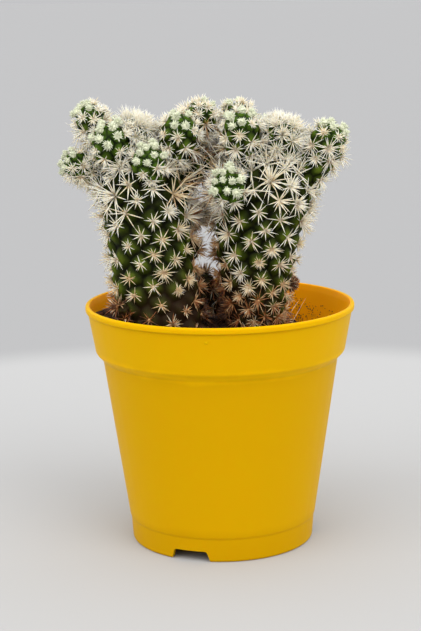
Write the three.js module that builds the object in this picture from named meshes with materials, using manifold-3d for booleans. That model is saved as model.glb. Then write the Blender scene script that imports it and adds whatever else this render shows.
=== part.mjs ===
// Potted thimble cactus: two tubercled stems crowded with young offsets, standing in
// compost in an injection-moulded nursery pot.
// Millimetres, +Z up. Every dimension is taken from the pot's axis; at the end the whole
// group is moved so that the origin lies under the middle of the object's outline, on the
// surface the pot stands on.

import * as THREE from 'three';
import { mergeVertices } from 'three/addons/utils/BufferGeometryUtils.js';
import Module from 'manifold-3d';

const wasm = await Module();
wasm.setup();

// ---------------------------------------------------------------- driving dimensions

const SIDES = 40; // facets round the pot and the compost
const GAP = 0.3; // air left between pieces that touch

const POT = {
  height: 76,
  lipRadius: 42.5,
  lipInnerRadius: 41.1,
  lipHeight: 2.8,
  bandTopRadius: 41.1,
  bandFootRadius: 39.3,
  bandFootHeight: 61.2,
  shoulderRadius: 37.1,
  shoulderHeight: 58.9,
  bodyFootRadius: 29.7,
  footRadius: 29.3,
  footHeight: 7.9,
  footRingWidth: 2.3,
  footChamfer: 0.4,
  wall: 1.2,
  floorUnderside: 5.4,
  floorThickness: 1.5,
};

const NOTCH = {
  count: 3,
  firstAngle: THREE.MathUtils.degToRad(-110.6),
  footWidth: 12.7,
  topWidth: 10.6,
  height: 3.4,
  cornerRadius: 0.9,
};

const DRAIN = { count: 6, radius: 3.2, circleRadius: 18, sides: 14 };

const SOIL = {
  heightOnAxis: 67.6,
  slope: -0.112, // rise per millimetre towards +X
  roughness: 0.45,
  rings: [0.36, 0.7, 1], // shares of the radius
};

// A phyllotactic lattice turns by the golden angle from one tubercle to the next, and
// climbs by its pitch times the radius, so the pattern stays alike from foot to crown.
const GOLDEN_ANGLE = Math.PI * (3 - Math.sqrt(5));
const NEAR = 5; // the three families of parastichies that a tubercle touches
const MIDDLE = 8;
const FAR = NEAR + MIDDLE;

const TUBERCLE = { depthPerRadius: 0.21, stemPitch: 0.0345, offsetPitch: 0.08 };

// Three spines rise from a bearing areole, one from each third of its woolly tip.
const SPINE = {
  areoleRadius: 0.42,
  offsetLength: 2.9,
  footLength: 3.2,
  crownLength: 6.3,
  tilt: THREE.MathUtils.degToRad(52),
  tiltSpread: THREE.MathUtils.degToRad(24),
  rollSpread: THREE.MathUtils.degToRad(50),
  stemShare: 0.85, // share of the areoles that bear spines
  offsetShare: 0.36,
  clearance: 0.45,
  soilClearance: 1.2,
  tries: 8,
};

// Stems: footHeight is the buried end; lean and bend move the axis off its foot as it
// climbs; profile gives radius and height above the foot of the tubercle tips, which end
// at crownRadius.
const STEMS = [
  {
    name: 'stem_left',
    seed: 2311,
    crownRadius: 6.4,
    foot: [-16.3, -2],
    footHeight: 54,
    lean: [-0.125, 0],
    bend: [0, 0],
    profile: [[13, 0], [13.6, 14], [13.4, 32], [13.4, 44], [13.7, 53], [12.3, 62], [8.4, 69], [3, 72]],
    offsets: [
      { root: [-34.5, -0.5, 115.2], head: [-43.3, -4, 120.1], radius: 4.3 },
      { root: [-30.5, 3, 119.5], head: [-38.7, -2, 133.3], radius: 5 },
      { root: [-29.5, 0.1, 117.4], head: [-32.4, -8.5, 126.8], radius: 6 },
      { root: [-20.8, -5, 113.7], head: [-20.8, -12, 120.9], radius: 5.4 },
      { root: [-25.3, 2.5, 116], head: [-25, -2.5, 128.3], radius: 5.6 },
      { root: [-15.5, 1.5, 117], head: [-11.8, -6, 129.3], radius: 6 },
      { root: [-15, 3.5, 117], head: [-5.2, 1.5, 133.4], radius: 5.2 },
      { root: [-28.9, 3.8, 117], head: [-33.1, 8, 127.5], radius: 5.2 },
      { root: [-20.9, 4, 114], head: [-19.7, 10, 124.3], radius: 5.4 },
      { root: [-14.3, 2.2, 110.1], head: [-6.8, 4, 119.3], radius: 4.8 },
      { root: [-10.2, 3.6, 69.5], head: [-4.9, 7, 80.4], radius: 3.8 },
    ],
  },
  {
    name: 'stem_right',
    seed: 907,
    crownRadius: 4.2,
    foot: [12.9, 1],
    footHeight: 52,
    lean: [-0.125, 0],
    bend: [0.0026, 0],
    profile: [[8, 0], [8.8, 15], [10.4, 26], [13, 41], [14.5, 53], [13.5, 61], [8.6, 68], [3, 71]],
    offsets: [
      { root: [4.5, -4, 107.6], head: [3, -12, 113.6], radius: 5.2 },
      { root: [9.5, 1.5, 117], head: [7.2, -6, 129.6], radius: 6 },
      { root: [11, 5, 114], head: [6.2, 6, 133.2], radius: 4.8 },
      { root: [18.4, 1.1, 113.1], head: [19.6, -1, 126.9], radius: 6 },
      { root: [25.5, 0.4, 111], head: [33.7, -2, 125.8], radius: 5.8 },
      { root: [21.6, 3.2, 111.5], head: [25.2, 8, 121.9], radius: 5.4 },
      { root: [14.6, 4.6, 115.6], head: [14.6, 10, 126.3], radius: 5.4 },
    ],
  },
];

// An offset's outline: radius and height in units of its own radius, with the height
// counted up from the head's centre.
const OFFSET_DOME = [[1, -0.25], [0.97, 0.2], [0.8, 0.62], [0.5, 0.88], [0.2, 0.98]];
const OFFSET_NECK = 0.82;

// ---------------------------------------------------------------- finishes

const FINISH = {
  pot: { color: 0xdea800, roughness: 0.42, metalness: 0 },
  soil: { color: 0x2d1a17, roughness: 1, metalness: 0 },
  cactus: { color: 0x5d6f2c, roughness: 0.6, metalness: 0 },
};

// ---------------------------------------------------------------- solids

// Turns a closed geometry into a solid whose faces point out.
function solidFrom(geometry) {
  geometry.deleteAttribute('normal');
  geometry.deleteAttribute('uv');
  const welded = mergeVertices(geometry, 1e-4);
  const points = welded.attributes.position;
  const corner = [new THREE.Vector3(), new THREE.Vector3(), new THREE.Vector3()];
  const faces = [];
  let volume = 0;
  for (let i = 0; i < welded.index.count; i += 3) {
    const face = [0, 1, 2].map((j) => welded.index.getX(i + j));
    if (new Set(face).size < 3) continue;
    face.forEach((vertex, j) => corner[j].fromBufferAttribute(points, vertex));
    volume += corner[0].dot(corner[1].clone().cross(corner[2]));
    faces.push(face);
  }
  if (volume < 0) faces.forEach((face) => face.reverse());
  const mesh = new wasm.Mesh({
    numProp: 3,
    vertProperties: new Float32Array(points.array),
    triVerts: new Uint32Array(faces.flat()),
  });
  return new wasm.Manifold(mesh);
}

// Joins solids in pairs, so that each join is between pieces of like size.
function fuse(solids) {
  let round = solids;
  while (round.length > 1) {
    const next = [];
    for (let i = 0; i < round.length; i += 2) {
      if (i + 1 === round.length) {
        next.push(round[i]);
      } else {
        next.push(round[i].add(round[i + 1]));
        round[i].delete();
        round[i + 1].delete();
      }
    }
    round = next;
  }
  return round[0];
}

// The outer skin of a fused solid: joining bumpy bodies can seal small hollows between
// them, and those are filled by leaving their walls out.
function outerSkin(solid) {
  const { vertProperties, triVerts } = solid.getMesh();
  const owner = Array.from({ length: vertProperties.length / 3 }, (_, i) => i);
  const find = (i) => {
    let root = i;
    while (owner[root] !== root) root = owner[root];
    while (owner[i] !== root) [owner[i], i] = [root, owner[i]];
    return root;
  };
  for (let i = 0; i < triVerts.length; i += 3) {
    owner[find(triVerts[i + 1])] = find(triVerts[i]);
    owner[find(triVerts[i + 2])] = find(triVerts[i]);
  }
  const shells = new Map();
  for (let i = 0; i < triVerts.length; i += 3) {
    const key = find(triVerts[i]);
    if (!shells.has(key)) shells.set(key, []);
    shells.get(key).push(triVerts[i], triVerts[i + 1], triVerts[i + 2]);
  }
  const largest = [...shells.values()].reduce((a, b) => (b.length > a.length ? b : a));
  const geometry = new THREE.BufferGeometry();
  geometry.setAttribute('position', new THREE.BufferAttribute(vertProperties, 3));
  geometry.setIndex([...largest]);
  return geometry;
}

function meshOf(name, solid, finish) {
  const flat = outerSkin(solid).toNonIndexed();
  flat.computeVertexNormals();
  const mesh = new THREE.Mesh(flat, new THREE.MeshStandardMaterial(finish));
  mesh.name = name;
  return mesh;
}

// A profile of [radius, height] turned about the Z axis.
function turned(profile, sides) {
  const points = profile.map(([radius, height]) => new THREE.Vector2(radius, height));
  return new THREE.LatheGeometry(points, sides).rotateX(Math.PI / 2);
}

// Repeatable random numbers from 0 to 1.
function randomFrom(seed) {
  let state = seed;
  return () => {
    state = (state + 0x6d2b79f5) | 0;
    let mixed = Math.imul(state ^ (state >>> 15), 1 | state);
    mixed = (mixed + Math.imul(mixed ^ (mixed >>> 7), 61 | mixed)) ^ mixed;
    return ((mixed ^ (mixed >>> 14)) >>> 0) / 4294967296;
  };
}

// ---------------------------------------------------------------- pot

// The inside of the wall from the floor to the lip, as [radius, height].
const INNER_WALL = [
  [POT.bodyFootRadius - POT.wall, POT.floorUnderside + POT.floorThickness],
  [POT.shoulderRadius - POT.wall, POT.shoulderHeight],
  [POT.bandFootRadius - POT.wall, POT.bandFootHeight],
  [POT.bandTopRadius - POT.wall, POT.height - POT.lipHeight],
  [POT.lipInnerRadius, POT.height - POT.lipHeight / 2],
];

function innerRadiusAt(height) {
  const upper = Math.max(1, INNER_WALL.findIndex((point) => point[1] >= height));
  const [lowRadius, low] = INNER_WALL[upper - 1];
  const [highRadius, high] = INNER_WALL[upper];
  return THREE.MathUtils.mapLinear(height, low, high, lowRadius, highRadius);
}

function lipProfile() {
  const middle = (POT.lipRadius + POT.lipInnerRadius) / 2;
  const halfWidth = (POT.lipRadius - POT.lipInnerRadius) / 2;
  const halfHeight = POT.lipHeight / 2;
  return [-55, 0, 50, 90, 135].map((degrees) => {
    const angle = THREE.MathUtils.degToRad(degrees);
    const height = POT.height - halfHeight + halfHeight * Math.sin(angle);
    return [middle + halfWidth * Math.cos(angle), height];
  });
}

function potShell() {
  const ringInside = POT.footRadius - POT.footRingWidth;
  const profile = [
    [0, POT.floorUnderside],
    [ringInside, POT.floorUnderside],
    [ringInside, 0],
    [POT.footRadius - POT.footChamfer, 0],
    [POT.footRadius, POT.footChamfer],
    [POT.footRadius, POT.footHeight - POT.footChamfer],
    [POT.bodyFootRadius, POT.footHeight],
    [POT.shoulderRadius, POT.shoulderHeight],
    [POT.bandFootRadius, POT.bandFootHeight],
    [POT.bandTopRadius, POT.height - POT.lipHeight],
    ...lipProfile(),
    ...[...INNER_WALL].reverse(),
    [0, POT.floorUnderside + POT.floorThickness],
  ];
  return solidFrom(turned(profile, SIDES));
}

// A rounded trapezoid pushed out through the foot ring, at an angle round the pot.
function notchCutter(angle) {
  const below = 1;
  const topHalf = NOTCH.topWidth / 2;
  const corner = NOTCH.cornerRadius;
  const flare = (NOTCH.footWidth - NOTCH.topWidth) / 2 / NOTCH.height;
  const footHalf = NOTCH.footWidth / 2 + flare * below;
  const outline = new THREE.Shape();
  outline.moveTo(-footHalf, -below);
  outline.lineTo(footHalf, -below);
  outline.lineTo(topHalf + flare * corner, NOTCH.height - corner);
  outline.quadraticCurveTo(topHalf, NOTCH.height, topHalf - corner, NOTCH.height);
  outline.lineTo(corner - topHalf, NOTCH.height);
  outline.quadraticCurveTo(-topHalf, NOTCH.height, -topHalf - flare * corner, NOTCH.height - corner);
  const reach = 3 * POT.footRingWidth;
  const geometry = new THREE.ExtrudeGeometry(outline, { depth: reach, bevelEnabled: false, curveSegments: 3 });
  const across = new THREE.Vector3(-Math.sin(angle), Math.cos(angle), 0);
  const outward = new THREE.Vector3(Math.cos(angle), Math.sin(angle), 0);
  const place = new THREE.Matrix4().makeBasis(across, new THREE.Vector3(0, 0, 1), outward);
  place.setPosition(outward.clone().multiplyScalar(POT.footRadius - 2 * POT.footRingWidth));
  return solidFrom(geometry.applyMatrix4(place));
}

function drainCutter(angle) {
  const height = 4 * POT.floorThickness;
  const hole = new THREE.CylinderGeometry(DRAIN.radius, DRAIN.radius, height, DRAIN.sides);
  hole.rotateX(Math.PI / 2);
  const x = DRAIN.circleRadius * Math.cos(angle);
  const y = DRAIN.circleRadius * Math.sin(angle);
  hole.translate(x, y, POT.floorUnderside + POT.floorThickness / 2);
  return solidFrom(hole);
}

function makePot() {
  const cutters = [];
  for (let i = 0; i < NOTCH.count; i += 1) {
    cutters.push(notchCutter(NOTCH.firstAngle + (2 * Math.PI * i) / NOTCH.count));
  }
  for (let i = 0; i < DRAIN.count; i += 1) {
    cutters.push(drainCutter((2 * Math.PI * i) / DRAIN.count));
  }
  return meshOf('pot', potShell().subtract(fuse(cutters)), FINISH.pot);
}

// ---------------------------------------------------------------- stems and offsets

// The lowest valley of the lattice lies some steps up it, so an outline is carried on
// below its buried end by the height that those steps climb.
function withBuriedEnd(outline, pitch) {
  const [end] = outline;
  const steps = (NEAR + FAR) / 3;
  return new THREE.SplineCurve([new THREE.Vector2(end.x, end.y - steps * pitch * end.x), ...outline]);
}

// A shoot is a bumpy body on a meridian, the outline of its tubercle tips. place() moves
// a point from the shoot's own frame, with Z along the shoot, to the pot's.
function stemShoot(stem) {
  const outline = stem.profile.map(([radius, height]) => new THREE.Vector2(radius, height));
  const place = (point) => {
    const climb = point.z;
    point.x += stem.foot[0] + stem.lean[0] * climb + stem.bend[0] * climb * climb;
    point.y += stem.foot[1] + stem.lean[1] * climb + stem.bend[1] * climb * climb;
    point.z += stem.footHeight;
    return point;
  };
  return {
    meridian: withBuriedEnd(outline, TUBERCLE.stemPitch),
    pitch: TUBERCLE.stemPitch,
    crownRadius: stem.crownRadius,
    spineShare: SPINE.stemShare,
    spineLengthAt: stemSpineLength,
    place,
  };
}

function stemSpineLength(height) {
  const share = THREE.MathUtils.smoothstep(height, POT.height - 6, POT.height + 36);
  return THREE.MathUtils.lerp(SPINE.footLength, SPINE.crownLength, share);
}

function offsetShoot(offset) {
  const root = new THREE.Vector3(...offset.root);
  const head = new THREE.Vector3(...offset.head);
  const along = head.clone().sub(root);
  const length = along.length();
  const turn = new THREE.Quaternion().setFromUnitVectors(new THREE.Vector3(0, 0, 1), along.normalize());
  const neck = new THREE.Vector2(OFFSET_NECK * offset.radius, -length);
  const dome = OFFSET_DOME.map(([radius, height]) => new THREE.Vector2(radius, height));
  dome.forEach((point) => point.multiplyScalar(offset.radius));
  return {
    meridian: withBuriedEnd([neck, ...dome], TUBERCLE.offsetPitch),
    pitch: TUBERCLE.offsetPitch,
    crownRadius: 0.24 * offset.radius,
    spineShare: SPINE.offsetShare,
    spineLengthAt: () => SPINE.offsetLength,
    place: (point) => point.applyQuaternion(turn).add(head),
  };
}

// A point near the shoot's surface, sunk by depth along the outline's normal, with that
// normal and the direction of growth there.
function surfaceFrame(shoot, arc, angle, depth) {
  const along = THREE.MathUtils.clamp(arc / shoot.meridian.getLength(), 0, 1);
  const { x: radius, y: height } = shoot.meridian.getPointAt(along);
  const tangent = shoot.meridian.getTangentAt(along);
  const local = (r, z) => new THREE.Vector3(r * Math.cos(angle), r * Math.sin(angle), z);
  const point = shoot.place(local(radius - depth * tangent.y, height + depth * tangent.x));
  const origin = shoot.place(new THREE.Vector3());
  const normal = shoot.place(local(tangent.y, -tangent.x)).sub(origin).normalize();
  const growth = shoot.place(local(tangent.x, tangent.y)).sub(origin).normalize();
  return { point, normal, growth, radius };
}

// Arc lengths of the tubercles along the meridian, from the buried end to the crown.
function latticeArcs(shoot) {
  const length = shoot.meridian.getLength();
  const arcs = [];
  let arc = 0;
  while (arc < length) {
    const radius = shoot.meridian.getPointAt(arc / length).x;
    if (arc > length / 2 && radius < shoot.crownRadius) break;
    arcs.push(arc);
    arc += shoot.pitch * radius;
  }
  return arcs;
}

// The direction round the shoot to the tubercle that is a number of steps further on.
function turnTo(steps) {
  const angle = (steps * GOLDEN_ANGLE) % (2 * Math.PI);
  return angle > Math.PI ? angle - 2 * Math.PI : angle;
}

// The tubercled body: six faces rise from a ring of valley points to each tip, and a fan
// closes the buried end and the crown. spineFrom says which areoles bear spines, and
// draws the tip of each spine, or nothing where none fits.
function shootGeometry(shoot, spineFrom) {
  const arcs = latticeArcs(shoot);
  const valleys = arcs.length - FAR;
  const points = [];
  const faces = [];
  const addValley = (arc, angle) => {
    const { radius } = surfaceFrame(shoot, arc, angle, 0);
    points.push(surfaceFrame(shoot, arc, angle, TUBERCLE.depthPerRadius * radius).point);
  };
  for (let k = 0; k < valleys; k += 1) {
    for (const step of [NEAR, MIDDLE]) {
      const arc = (arcs[k] + arcs[k + step] + arcs[k + FAR]) / 3;
      addValley(arc, k * GOLDEN_ANGLE + (turnTo(step) + turnTo(FAR)) / 3);
    }
  }
  const nearValley = (k) => 2 * k;
  const middleValley = (k) => 2 * k + 1;
  for (let k = FAR; k < valleys; k += 1) {
    const ring = [
      middleValley(k),
      nearValley(k),
      middleValley(k - MIDDLE),
      nearValley(k - FAR),
      middleValley(k - FAR),
      nearValley(k - NEAR),
    ];
    if (k % 2) ring.push(ring.shift());
    const areole = surfaceFrame(shoot, arcs[k], k * GOLDEN_ANGLE, 0);
    const tip = points.push(areole.point) - 1;
    if (spineFrom.bears(shoot, areole.point)) {
      addSpinedTip(points, faces, ring, tip, (toward) => spineFrom.draw(shoot, areole, toward));
    } else {
      ring.forEach((valley, i) => faces.push([tip, valley, ring[(i + 1) % ring.length]]));
    }
  }
  closeEnds(points, faces);
  const geometry = new THREE.BufferGeometry().setFromPoints(points);
  geometry.setIndex(faces.flat());
  return geometry;
}

// A tip with a three-cornered areole on it, and a spine from each third of the areole.
function addSpinedTip(points, faces, ring, tip, spineToward) {
  const corners = [0, 2, 4].map((i) => {
    const valley = points[ring[i]];
    const share = SPINE.areoleRadius / points[tip].distanceTo(valley);
    return points.push(points[tip].clone().lerp(valley, share)) - 1;
  });
  corners.forEach((corner, j) => {
    const [before, valley, after] = [(2 * j + 5) % 6, 2 * j, 2 * j + 1].map((i) => ring[i]);
    const nextCorner = corners[(j + 1) % 3];
    faces.push([corner, before, valley]);
    faces.push([corner, valley, after]);
    faces.push([corner, after, nextCorner]);
    const spineTip = spineToward(points[after]);
    if (spineTip) {
      const end = points.push(spineTip) - 1;
      faces.push([tip, corner, end]);
      faces.push([corner, nextCorner, end]);
      faces.push([nextCorner, tip, end]);
    } else {
      faces.push([tip, corner, nextCorner]);
    }
  });
}

// Closes each open loop of edges with a fan to the loop's middle.
function closeEnds(points, faces) {
  const open = new Map();
  for (const face of faces) {
    face.forEach((from, i) => open.set(`${from} ${face[(i + 1) % 3]}`, [from, face[(i + 1) % 3]]));
  }
  const next = new Map();
  for (const [from, to] of open.values()) {
    if (!open.has(`${to} ${from}`)) next.set(to, from);
  }
  while (next.size > 0) {
    const start = next.keys().next().value;
    const loop = [];
    let vertex = start;
    do {
      loop.push(vertex);
      const following = next.get(vertex);
      next.delete(vertex);
      vertex = following;
    } while (vertex !== start);
    const centre = loop.reduce((sum, point) => sum.add(points[point]), new THREE.Vector3());
    const middle = points.push(centre.divideScalar(loop.length)) - 1;
    loop.forEach((point, i) => faces.push([point, loop[(i + 1) % loop.length], middle]));
  }
}

// Spheres that fill a plant, for telling how far a point is from it.
function fillingSpheres(stem) {
  const spheres = [];
  const shoot = stemShoot(stem);
  const samples = 18;
  for (let i = 0; i <= samples; i += 1) {
    const { x: radius, y: height } = shoot.meridian.getPointAt((0.92 * i) / samples);
    spheres.push({ shoot: 0, centre: shoot.place(new THREE.Vector3(0, 0, height)), radius });
  }
  stem.offsets.forEach((offset, index) => {
    const root = new THREE.Vector3(...offset.root);
    const head = new THREE.Vector3(...offset.head);
    for (const share of [0.4, 0.7, 1]) {
      const radius = offset.radius * THREE.MathUtils.lerp(OFFSET_NECK, 1, share);
      spheres.push({ shoot: index + 1, centre: root.clone().lerp(head, share), radius });
    }
  });
  return spheres;
}

function distanceTo(spheres, point) {
  return Math.min(...spheres.map((sphere) => sphere.centre.distanceTo(point) - sphere.radius));
}

function soilHeight(x, y) {
  const lumps = Math.sin(0.42 * x + 0.9) * Math.cos(0.37 * y) + Math.sin(0.23 * y + 0.61 * x);
  return SOIL.heightOnAxis + SOIL.slope * x + SOIL.roughness * lumps;
}

// Whether a spine keeps clear of the other plant, the compost and the pot.
function spineIsClear(from, to, own, others) {
  const probe = new THREE.Vector3();
  for (const share of [0.4, 0.7, 1]) {
    probe.lerpVectors(from, to, share);
    if (distanceTo(own, probe) + SPINE.clearance > distanceTo(others, probe)) return false;
    if (probe.z < soilHeight(probe.x, probe.y) + SPINE.soilClearance) return false;
    const reach = Math.hypot(probe.x, probe.y) + SPINE.clearance;
    if (probe.z < POT.height + SPINE.clearance && reach > POT.bandTopRadius - POT.wall) return false;
  }
  return true;
}

// Whether two spines pass each other with room between them.
function spinesAreApart(spine, other) {
  const probe = new THREE.Vector3();
  const nearest = new THREE.Vector3();
  for (let share = 0.15; share <= 1; share += 0.17) {
    spine.at(share, probe);
    other.closestPointToPoint(probe, true, nearest);
    if (probe.distanceTo(nearest) < SPINE.clearance) return false;
  }
  return true;
}

// Makes the rule for a shoot's spines. Areoles in the open bear them, as many as the
// shoot's share says. Each spine leans out of its areole, and one that would touch
// another spine, the other plant, the compost or the pot is drawn again.
function spineRule(index, own, others, random) {
  const siblings = own.filter((sphere) => sphere.shoot !== index);
  const placed = [];
  const bears = (shoot, point) => {
    const chosen = random() < shoot.spineShare;
    return chosen && point.z > soilHeight(point.x, point.y) && distanceTo(siblings, point) > 0;
  };
  const draw = (shoot, areole, toward) => {
    const flat = toward.clone().sub(areole.point).projectOnPlane(areole.normal).normalize();
    const rivals = placed.filter((other) => other.start !== areole.point);
    for (let attempt = 0; attempt < SPINE.tries; attempt += 1) {
      const roll = SPINE.rollSpread * (random() - 0.5);
      const tilt = SPINE.tilt + SPINE.tiltSpread * (random() - 0.5);
      const direction = flat.clone().applyAxisAngle(areole.normal, roll).multiplyScalar(Math.sin(tilt));
      direction.addScaledVector(areole.normal, Math.cos(tilt));
      const length = shoot.spineLengthAt(areole.point.z) * (0.85 + 0.3 * random());
      const end = areole.point.clone().addScaledVector(direction, length);
      const spine = new THREE.Line3(areole.point, end);
      const isFree = spineIsClear(areole.point, end, own, others) && distanceTo(siblings, end) > 0;
      if (isFree && rivals.every((rival) => spinesAreApart(spine, rival))) {
        placed.push(spine);
        return end;
      }
    }
    return null;
  };
  return { bears, draw };
}

function makeStem(stem) {
  const random = randomFrom(stem.seed);
  const own = fillingSpheres(stem);
  const others = STEMS.filter((other) => other !== stem).flatMap(fillingSpheres);
  const shoots = [stemShoot(stem), ...stem.offsets.map(offsetShoot)];
  const solids = shoots.map((shoot, index) => {
    return solidFrom(shootGeometry(shoot, spineRule(index, own, others, random)));
  });
  return meshOf(stem.name, fuse(solids), FINISH.cactus);
}

// ---------------------------------------------------------------- compost

// The plain hole that a stem stands in: its outline, one gap larger all round.
function stemHole(stem) {
  const shoot = stemShoot(stem);
  const top = stem.profile[stem.profile.length - 1][1];
  const profile = [[0, -GAP]];
  for (let height = -GAP; height < top / 2; height += 6) {
    const radius = shoot.meridian.getPoint(Math.max(0, height) / top).x;
    profile.push([radius + 2 * GAP, height]);
  }
  profile.push([0, profile[profile.length - 1][1]]);
  const hole = turned(profile, 20);
  const points = hole.attributes.position;
  const point = new THREE.Vector3();
  for (let i = 0; i < points.count; i += 1) {
    shoot.place(point.fromBufferAttribute(points, i));
    points.setXYZ(i, point.x, point.y, point.z);
  }
  return solidFrom(hole);
}

// Rings of points: out from the middle of the top, down beside the wall, and in below.
function makeSoil() {
  const floorTop = POT.floorUnderside + POT.floorThickness;
  const levels = [POT.bandFootHeight, POT.shoulderHeight, floorTop + GAP];
  const radiusBeside = (height) => innerRadiusAt(height) - GAP;
  const edge = radiusBeside(SOIL.heightOnAxis);
  const rings = SOIL.rings.map((share) => (angle) => {
    const height = soilHeight(share * edge * Math.cos(angle), share * edge * Math.sin(angle));
    return [share * (share < 1 ? edge : radiusBeside(height)), height];
  });
  rings.push(...levels.map((height) => () => [radiusBeside(height), height]));
  const positions = [0, 0, soilHeight(0, 0)];
  for (const ring of rings) {
    for (let i = 0; i < SIDES; i += 1) {
      const angle = (2 * Math.PI * i) / SIDES;
      const [radius, height] = ring(angle);
      positions.push(radius * Math.cos(angle), radius * Math.sin(angle), height);
    }
  }
  positions.push(0, 0, floorTop + GAP);
  const last = positions.length / 3 - 1;
  const faces = [];
  for (let i = 0; i < SIDES; i += 1) {
    const next = (i + 1) % SIDES;
    faces.push([0, 1 + i, 1 + next]);
    for (let r = 0; r + 1 < rings.length; r += 1) {
      const upper = 1 + r * SIDES;
      const lower = upper + SIDES;
      faces.push([upper + i, lower + i, lower + next]);
      faces.push([upper + i, lower + next, upper + next]);
    }
    faces.push([last - SIDES + i, last, last - SIDES + next]);
  }
  const geometry = new THREE.BufferGeometry();
  geometry.setAttribute('position', new THREE.Float32BufferAttribute(positions, 3));
  geometry.setIndex(faces.flat());
  const body = solidFrom(geometry).subtract(fuse(STEMS.map(stemHole)));
  return meshOf('soil', body, FINISH.soil);
}

// ---------------------------------------------------------------- assembly

const plant = new THREE.Group();
plant.add(makePot());
plant.add(makeSoil());
STEMS.forEach((stem) => plant.add(makeStem(stem)));

const outline = new THREE.Box3().setFromObject(plant);
plant.position.x = -(outline.min.x + outline.max.x) / 2;
plant.position.y = -(outline.min.y + outline.max.y) / 2;

export default plant;
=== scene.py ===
"""Potted thimble cactus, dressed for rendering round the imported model.

Two stems crowded with offsets stand in dark compost, in a yellow moulded nursery pot.
Sizes are millimetres from the pot's axis, +Z up from the surface that the pot stands on.
Each mesh is turned to metres in the row frame as it is made.
"""

import logging
import math
from dataclasses import dataclass, field
from enum import Enum
from functools import partial
from typing import Any, Callable, ClassVar, Sequence

import bmesh
import bpy
import numpy as np
from mathutils import Matrix, Vector


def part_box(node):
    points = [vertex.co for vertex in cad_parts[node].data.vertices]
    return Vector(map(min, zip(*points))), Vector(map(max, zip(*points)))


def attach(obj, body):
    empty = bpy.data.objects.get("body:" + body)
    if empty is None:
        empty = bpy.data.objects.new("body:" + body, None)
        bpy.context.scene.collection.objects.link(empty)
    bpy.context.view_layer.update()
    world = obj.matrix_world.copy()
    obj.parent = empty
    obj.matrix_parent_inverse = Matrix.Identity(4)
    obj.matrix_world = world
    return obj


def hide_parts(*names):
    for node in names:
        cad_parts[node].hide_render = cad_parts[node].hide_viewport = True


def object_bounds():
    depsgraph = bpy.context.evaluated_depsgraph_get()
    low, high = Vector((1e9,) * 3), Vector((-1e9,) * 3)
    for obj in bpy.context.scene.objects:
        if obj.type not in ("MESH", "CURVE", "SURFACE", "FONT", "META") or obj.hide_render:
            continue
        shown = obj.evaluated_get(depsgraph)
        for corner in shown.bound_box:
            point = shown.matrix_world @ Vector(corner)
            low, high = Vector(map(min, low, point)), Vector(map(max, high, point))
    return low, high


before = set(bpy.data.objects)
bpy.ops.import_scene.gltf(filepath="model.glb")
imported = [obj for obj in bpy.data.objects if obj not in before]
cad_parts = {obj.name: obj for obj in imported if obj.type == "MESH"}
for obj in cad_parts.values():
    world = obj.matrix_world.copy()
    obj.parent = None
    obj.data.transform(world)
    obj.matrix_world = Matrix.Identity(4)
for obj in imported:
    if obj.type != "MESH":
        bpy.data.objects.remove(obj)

CAD_BOX = [list(corner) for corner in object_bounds()]
MM = 0.001
TURN = 2 * math.pi
LOG = logging.getLogger("thimble_cactus")

Array = np.ndarray
Random = np.random.Generator
Point = tuple[float, float, float]
Span = tuple[float, float]
AddNode = Callable[..., bpy.types.Node]


# ------------------------------------------------------------------------ small tools


def pot_axis() -> Array:
    """Gives the pot's axis in the row frame, in millimetres."""
    low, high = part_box("pot")
    return np.array([(low[0] + high[0]) / 2, (low[1] + high[1]) / 2, 0.0]) / MM


AXIS = pot_axis()


def row_frame(points: Array) -> Array:
    """Turns millimetres from the pot's axis to metres in the row frame."""
    return (points + AXIS) * MM


def inside_box(points: Array, spare: float = 1.1) -> Array:
    """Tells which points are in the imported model's box.

    Args:
        points: where to look, in millimetres from the pot's axis.
        spare: how far outside the box still counts.

    Returns:
        One truth value a point.
    """
    low, high = np.array(CAD_BOX[0]) / MM, np.array(CAD_BOX[1]) / MM
    row = points + AXIS
    return np.all((row > low - spare) & (row < high + spare), axis=-1)


def unit(vectors: Array) -> Array:
    """Scales vectors along the last axis to length one."""
    return vectors / np.maximum(np.linalg.norm(vectors, axis=-1, keepdims=True), 1e-9)


def smooth(value: Array, low: float, high: float) -> Array:
    """Rises smoothly from 0 at low to 1 at high, or falls where low is the larger."""
    share = np.clip((value - low) / (high - low), 0.0, 1.0)
    return share * share * (3 - 2 * share)


def curved(start: Array, middle: Array, end: Array, count: int) -> Array:
    """Gives points on the curve from start to end that leaves and arrives towards middle."""
    t = np.linspace(0, 1, count)[:, None]
    return (1 - t) ** 2 * start + 2 * t * (1 - t) * middle + t * t * end


def waves(points: Array, length: float, seed: int, count: int = 14) -> Array:
    """Gives a smooth random field.

    Args:
        points: where to read it, in millimetres.
        length: the distance from crest to crest.
        seed: choice of field.
        count: number of waves that it sums.

    Returns:
        One value a point, mostly between -1 and 1.
    """
    random = np.random.default_rng(seed)
    headings = unit(random.normal(size=(count, 3))) * TURN / length
    headings *= random.uniform(0.7, 1.5, (count, 1))
    phases = random.uniform(0, TURN, count)
    return np.sin(points @ headings.T + phases).sum(-1) / math.sqrt(count / 2) * 0.6


# -------------------------------------------------------------------- mesh collecting


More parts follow.
